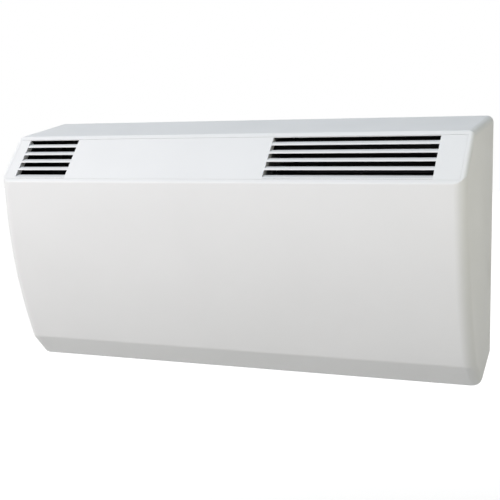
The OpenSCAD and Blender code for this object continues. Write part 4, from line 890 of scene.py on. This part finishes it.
# The other nodes keep their shape and take a finish by their slot
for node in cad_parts.values():
    for slot in node.material_slots:
        slot.material = finishes[slot.material.name]
print("nodes finished")

# Floor, under a heater hung low on its wall
stageSizes = {
    "drop": 560,                             # floor below the keel
    "reach": 40000, "lines": 3,
    "tones": ((0.79, 0.78, 0.76), (0.81, 0.8, 0.78)),
    "glow": (0.62, 1.0),                     # lifts the floor to white, near the heater and far from it
    "fade": (1000, 2600),                    # where near turns into far
}


# 1 where a camera, glossy or transmission ray looks, and 0 for the rays that light the heater
def lookedAt(finish):
    path = addNode(finish, "ShaderNodeLightPath", {})
    seen = path.outputs["Is Camera Ray"]
    for ray in ("Is Glossy Ray", "Is Transmission Ray"):
        inputs = {0: seen, 1: path.outputs[ray]}
        seen = addNode(finish, "ShaderNodeMath", inputs, operation="MAXIMUM").outputs[0]
    return seen


def paleFloor():
    finish, shader = newFinish("pale_floor", colour=(0.8, 0.79, 0.77), roughness=0.9)
    drift = spread(finish, noiseOn(finish, scale=1.5), 0, 1)
    join(finish, shadeBetween(finish, drift, *stageSizes["tones"]), shader, "Base Color")
    away = addNode(finish, "ShaderNodeVectorMath", {0: pieceCoords(finish)}, operation="LENGTH")
    near, far = np.array(stageSizes["fade"]) * mm
    glow = spread(finish, away.outputs["Value"], *stageSizes["glow"], start=near, end=far)
    strength = addNode(finish, "ShaderNodeMath", {0: lookedAt(finish), 1: glow}, operation="MULTIPLY")
    shader.inputs["Emission Color"].default_value = (1, 1, 1, 1)
    join(finish, strength.outputs[0], shader, "Emission Strength")
    return finish


def makeFloor():
    finishes["pale_floor"] = paleFloor()
    level = cadBox[0].z / mm - stageSizes["drop"]
    reach, lines = stageSizes["reach"], stageSizes["lines"]
    line = np.linspace(-reach, reach, lines)
    x, y = np.meshgrid(line, line, indexing="ij")
    points = np.stack([x, y, 0 * x + level], axis=-1).reshape(-1, 3)
    quads = gridQuads(lines, lines).reshape(-1, 4)[:, ::-1]
    return addPiece("floor", points, quads, noTriangles, ["pale_floor"])


floor = makeFloor()

# Soft studio light: each lamp's place, power and tint. All but the side lamp aim at the middle.
middle, rightEnd = (0, -80, 0), (350, -80, 10)
large, small = 1800, 300
lamps = {
    "key": {"place": (-1800, -2400, 1700), "power": 80, "colour": (1.0, 0.965, 0.97)},
    "frontUp": {"place": (0, -2600, 1900), "power": 17, "colour": (0.83, 0.89, 1.0)},
    "frontLow": {"place": (200, -3200, -100), "power": 11, "colour": (1.0, 0.965, 0.8)},
    "overhead": {"place": (0, -300, 2600), "power": 9, "colour": (0.48, 0.8, 1.0)},
    "side": {"place": (850, -225, 130), "power": 1.0, "colour": (1.0, 0.975, 0.82),
             "aim": rightEnd, "size": small},
}
ambient = {"colour": (1.0, 1.0, 0.93), "strength": 0.05}


def addLamp(name, place, power, colour, aim=middle, size=large):
    light = bpy.data.lights.new(name, "AREA")
    light.shape = "SQUARE"
    light.size = size * mm
    light.energy = power
    light.color = colour
    lamp = bpy.data.objects.new(name, light)
    lamp.location = Vector(place) * mm
    lamp.rotation_euler = (Vector(aim) - Vector(place)).to_track_quat("-Z", "Y").to_euler()
    scene.collection.objects.link(lamp)


for name, lamp in lamps.items():
    addLamp(name, **lamp)

world = bpy.data.worlds.new("studio")
world.use_nodes = True
scene.world = world
backdrop = world.node_tree.nodes["Background"]
backdrop.inputs["Color"].default_value = (1, 1, 1, 1)
glow = {"Color": (*ambient["colour"], 1), "Strength": ambient["strength"]}
fill = addNode(world, "ShaderNodeBackground", glow)
either = {0: lookedAt(world), 1: fill.outputs[0], 2: backdrop.outputs[0]}
studio = addNode(world, "ShaderNodeMixShader", either)
join(world, studio.outputs[0], world.node_tree.nodes["World Output"], "Surface")
print("stage and lamps set")
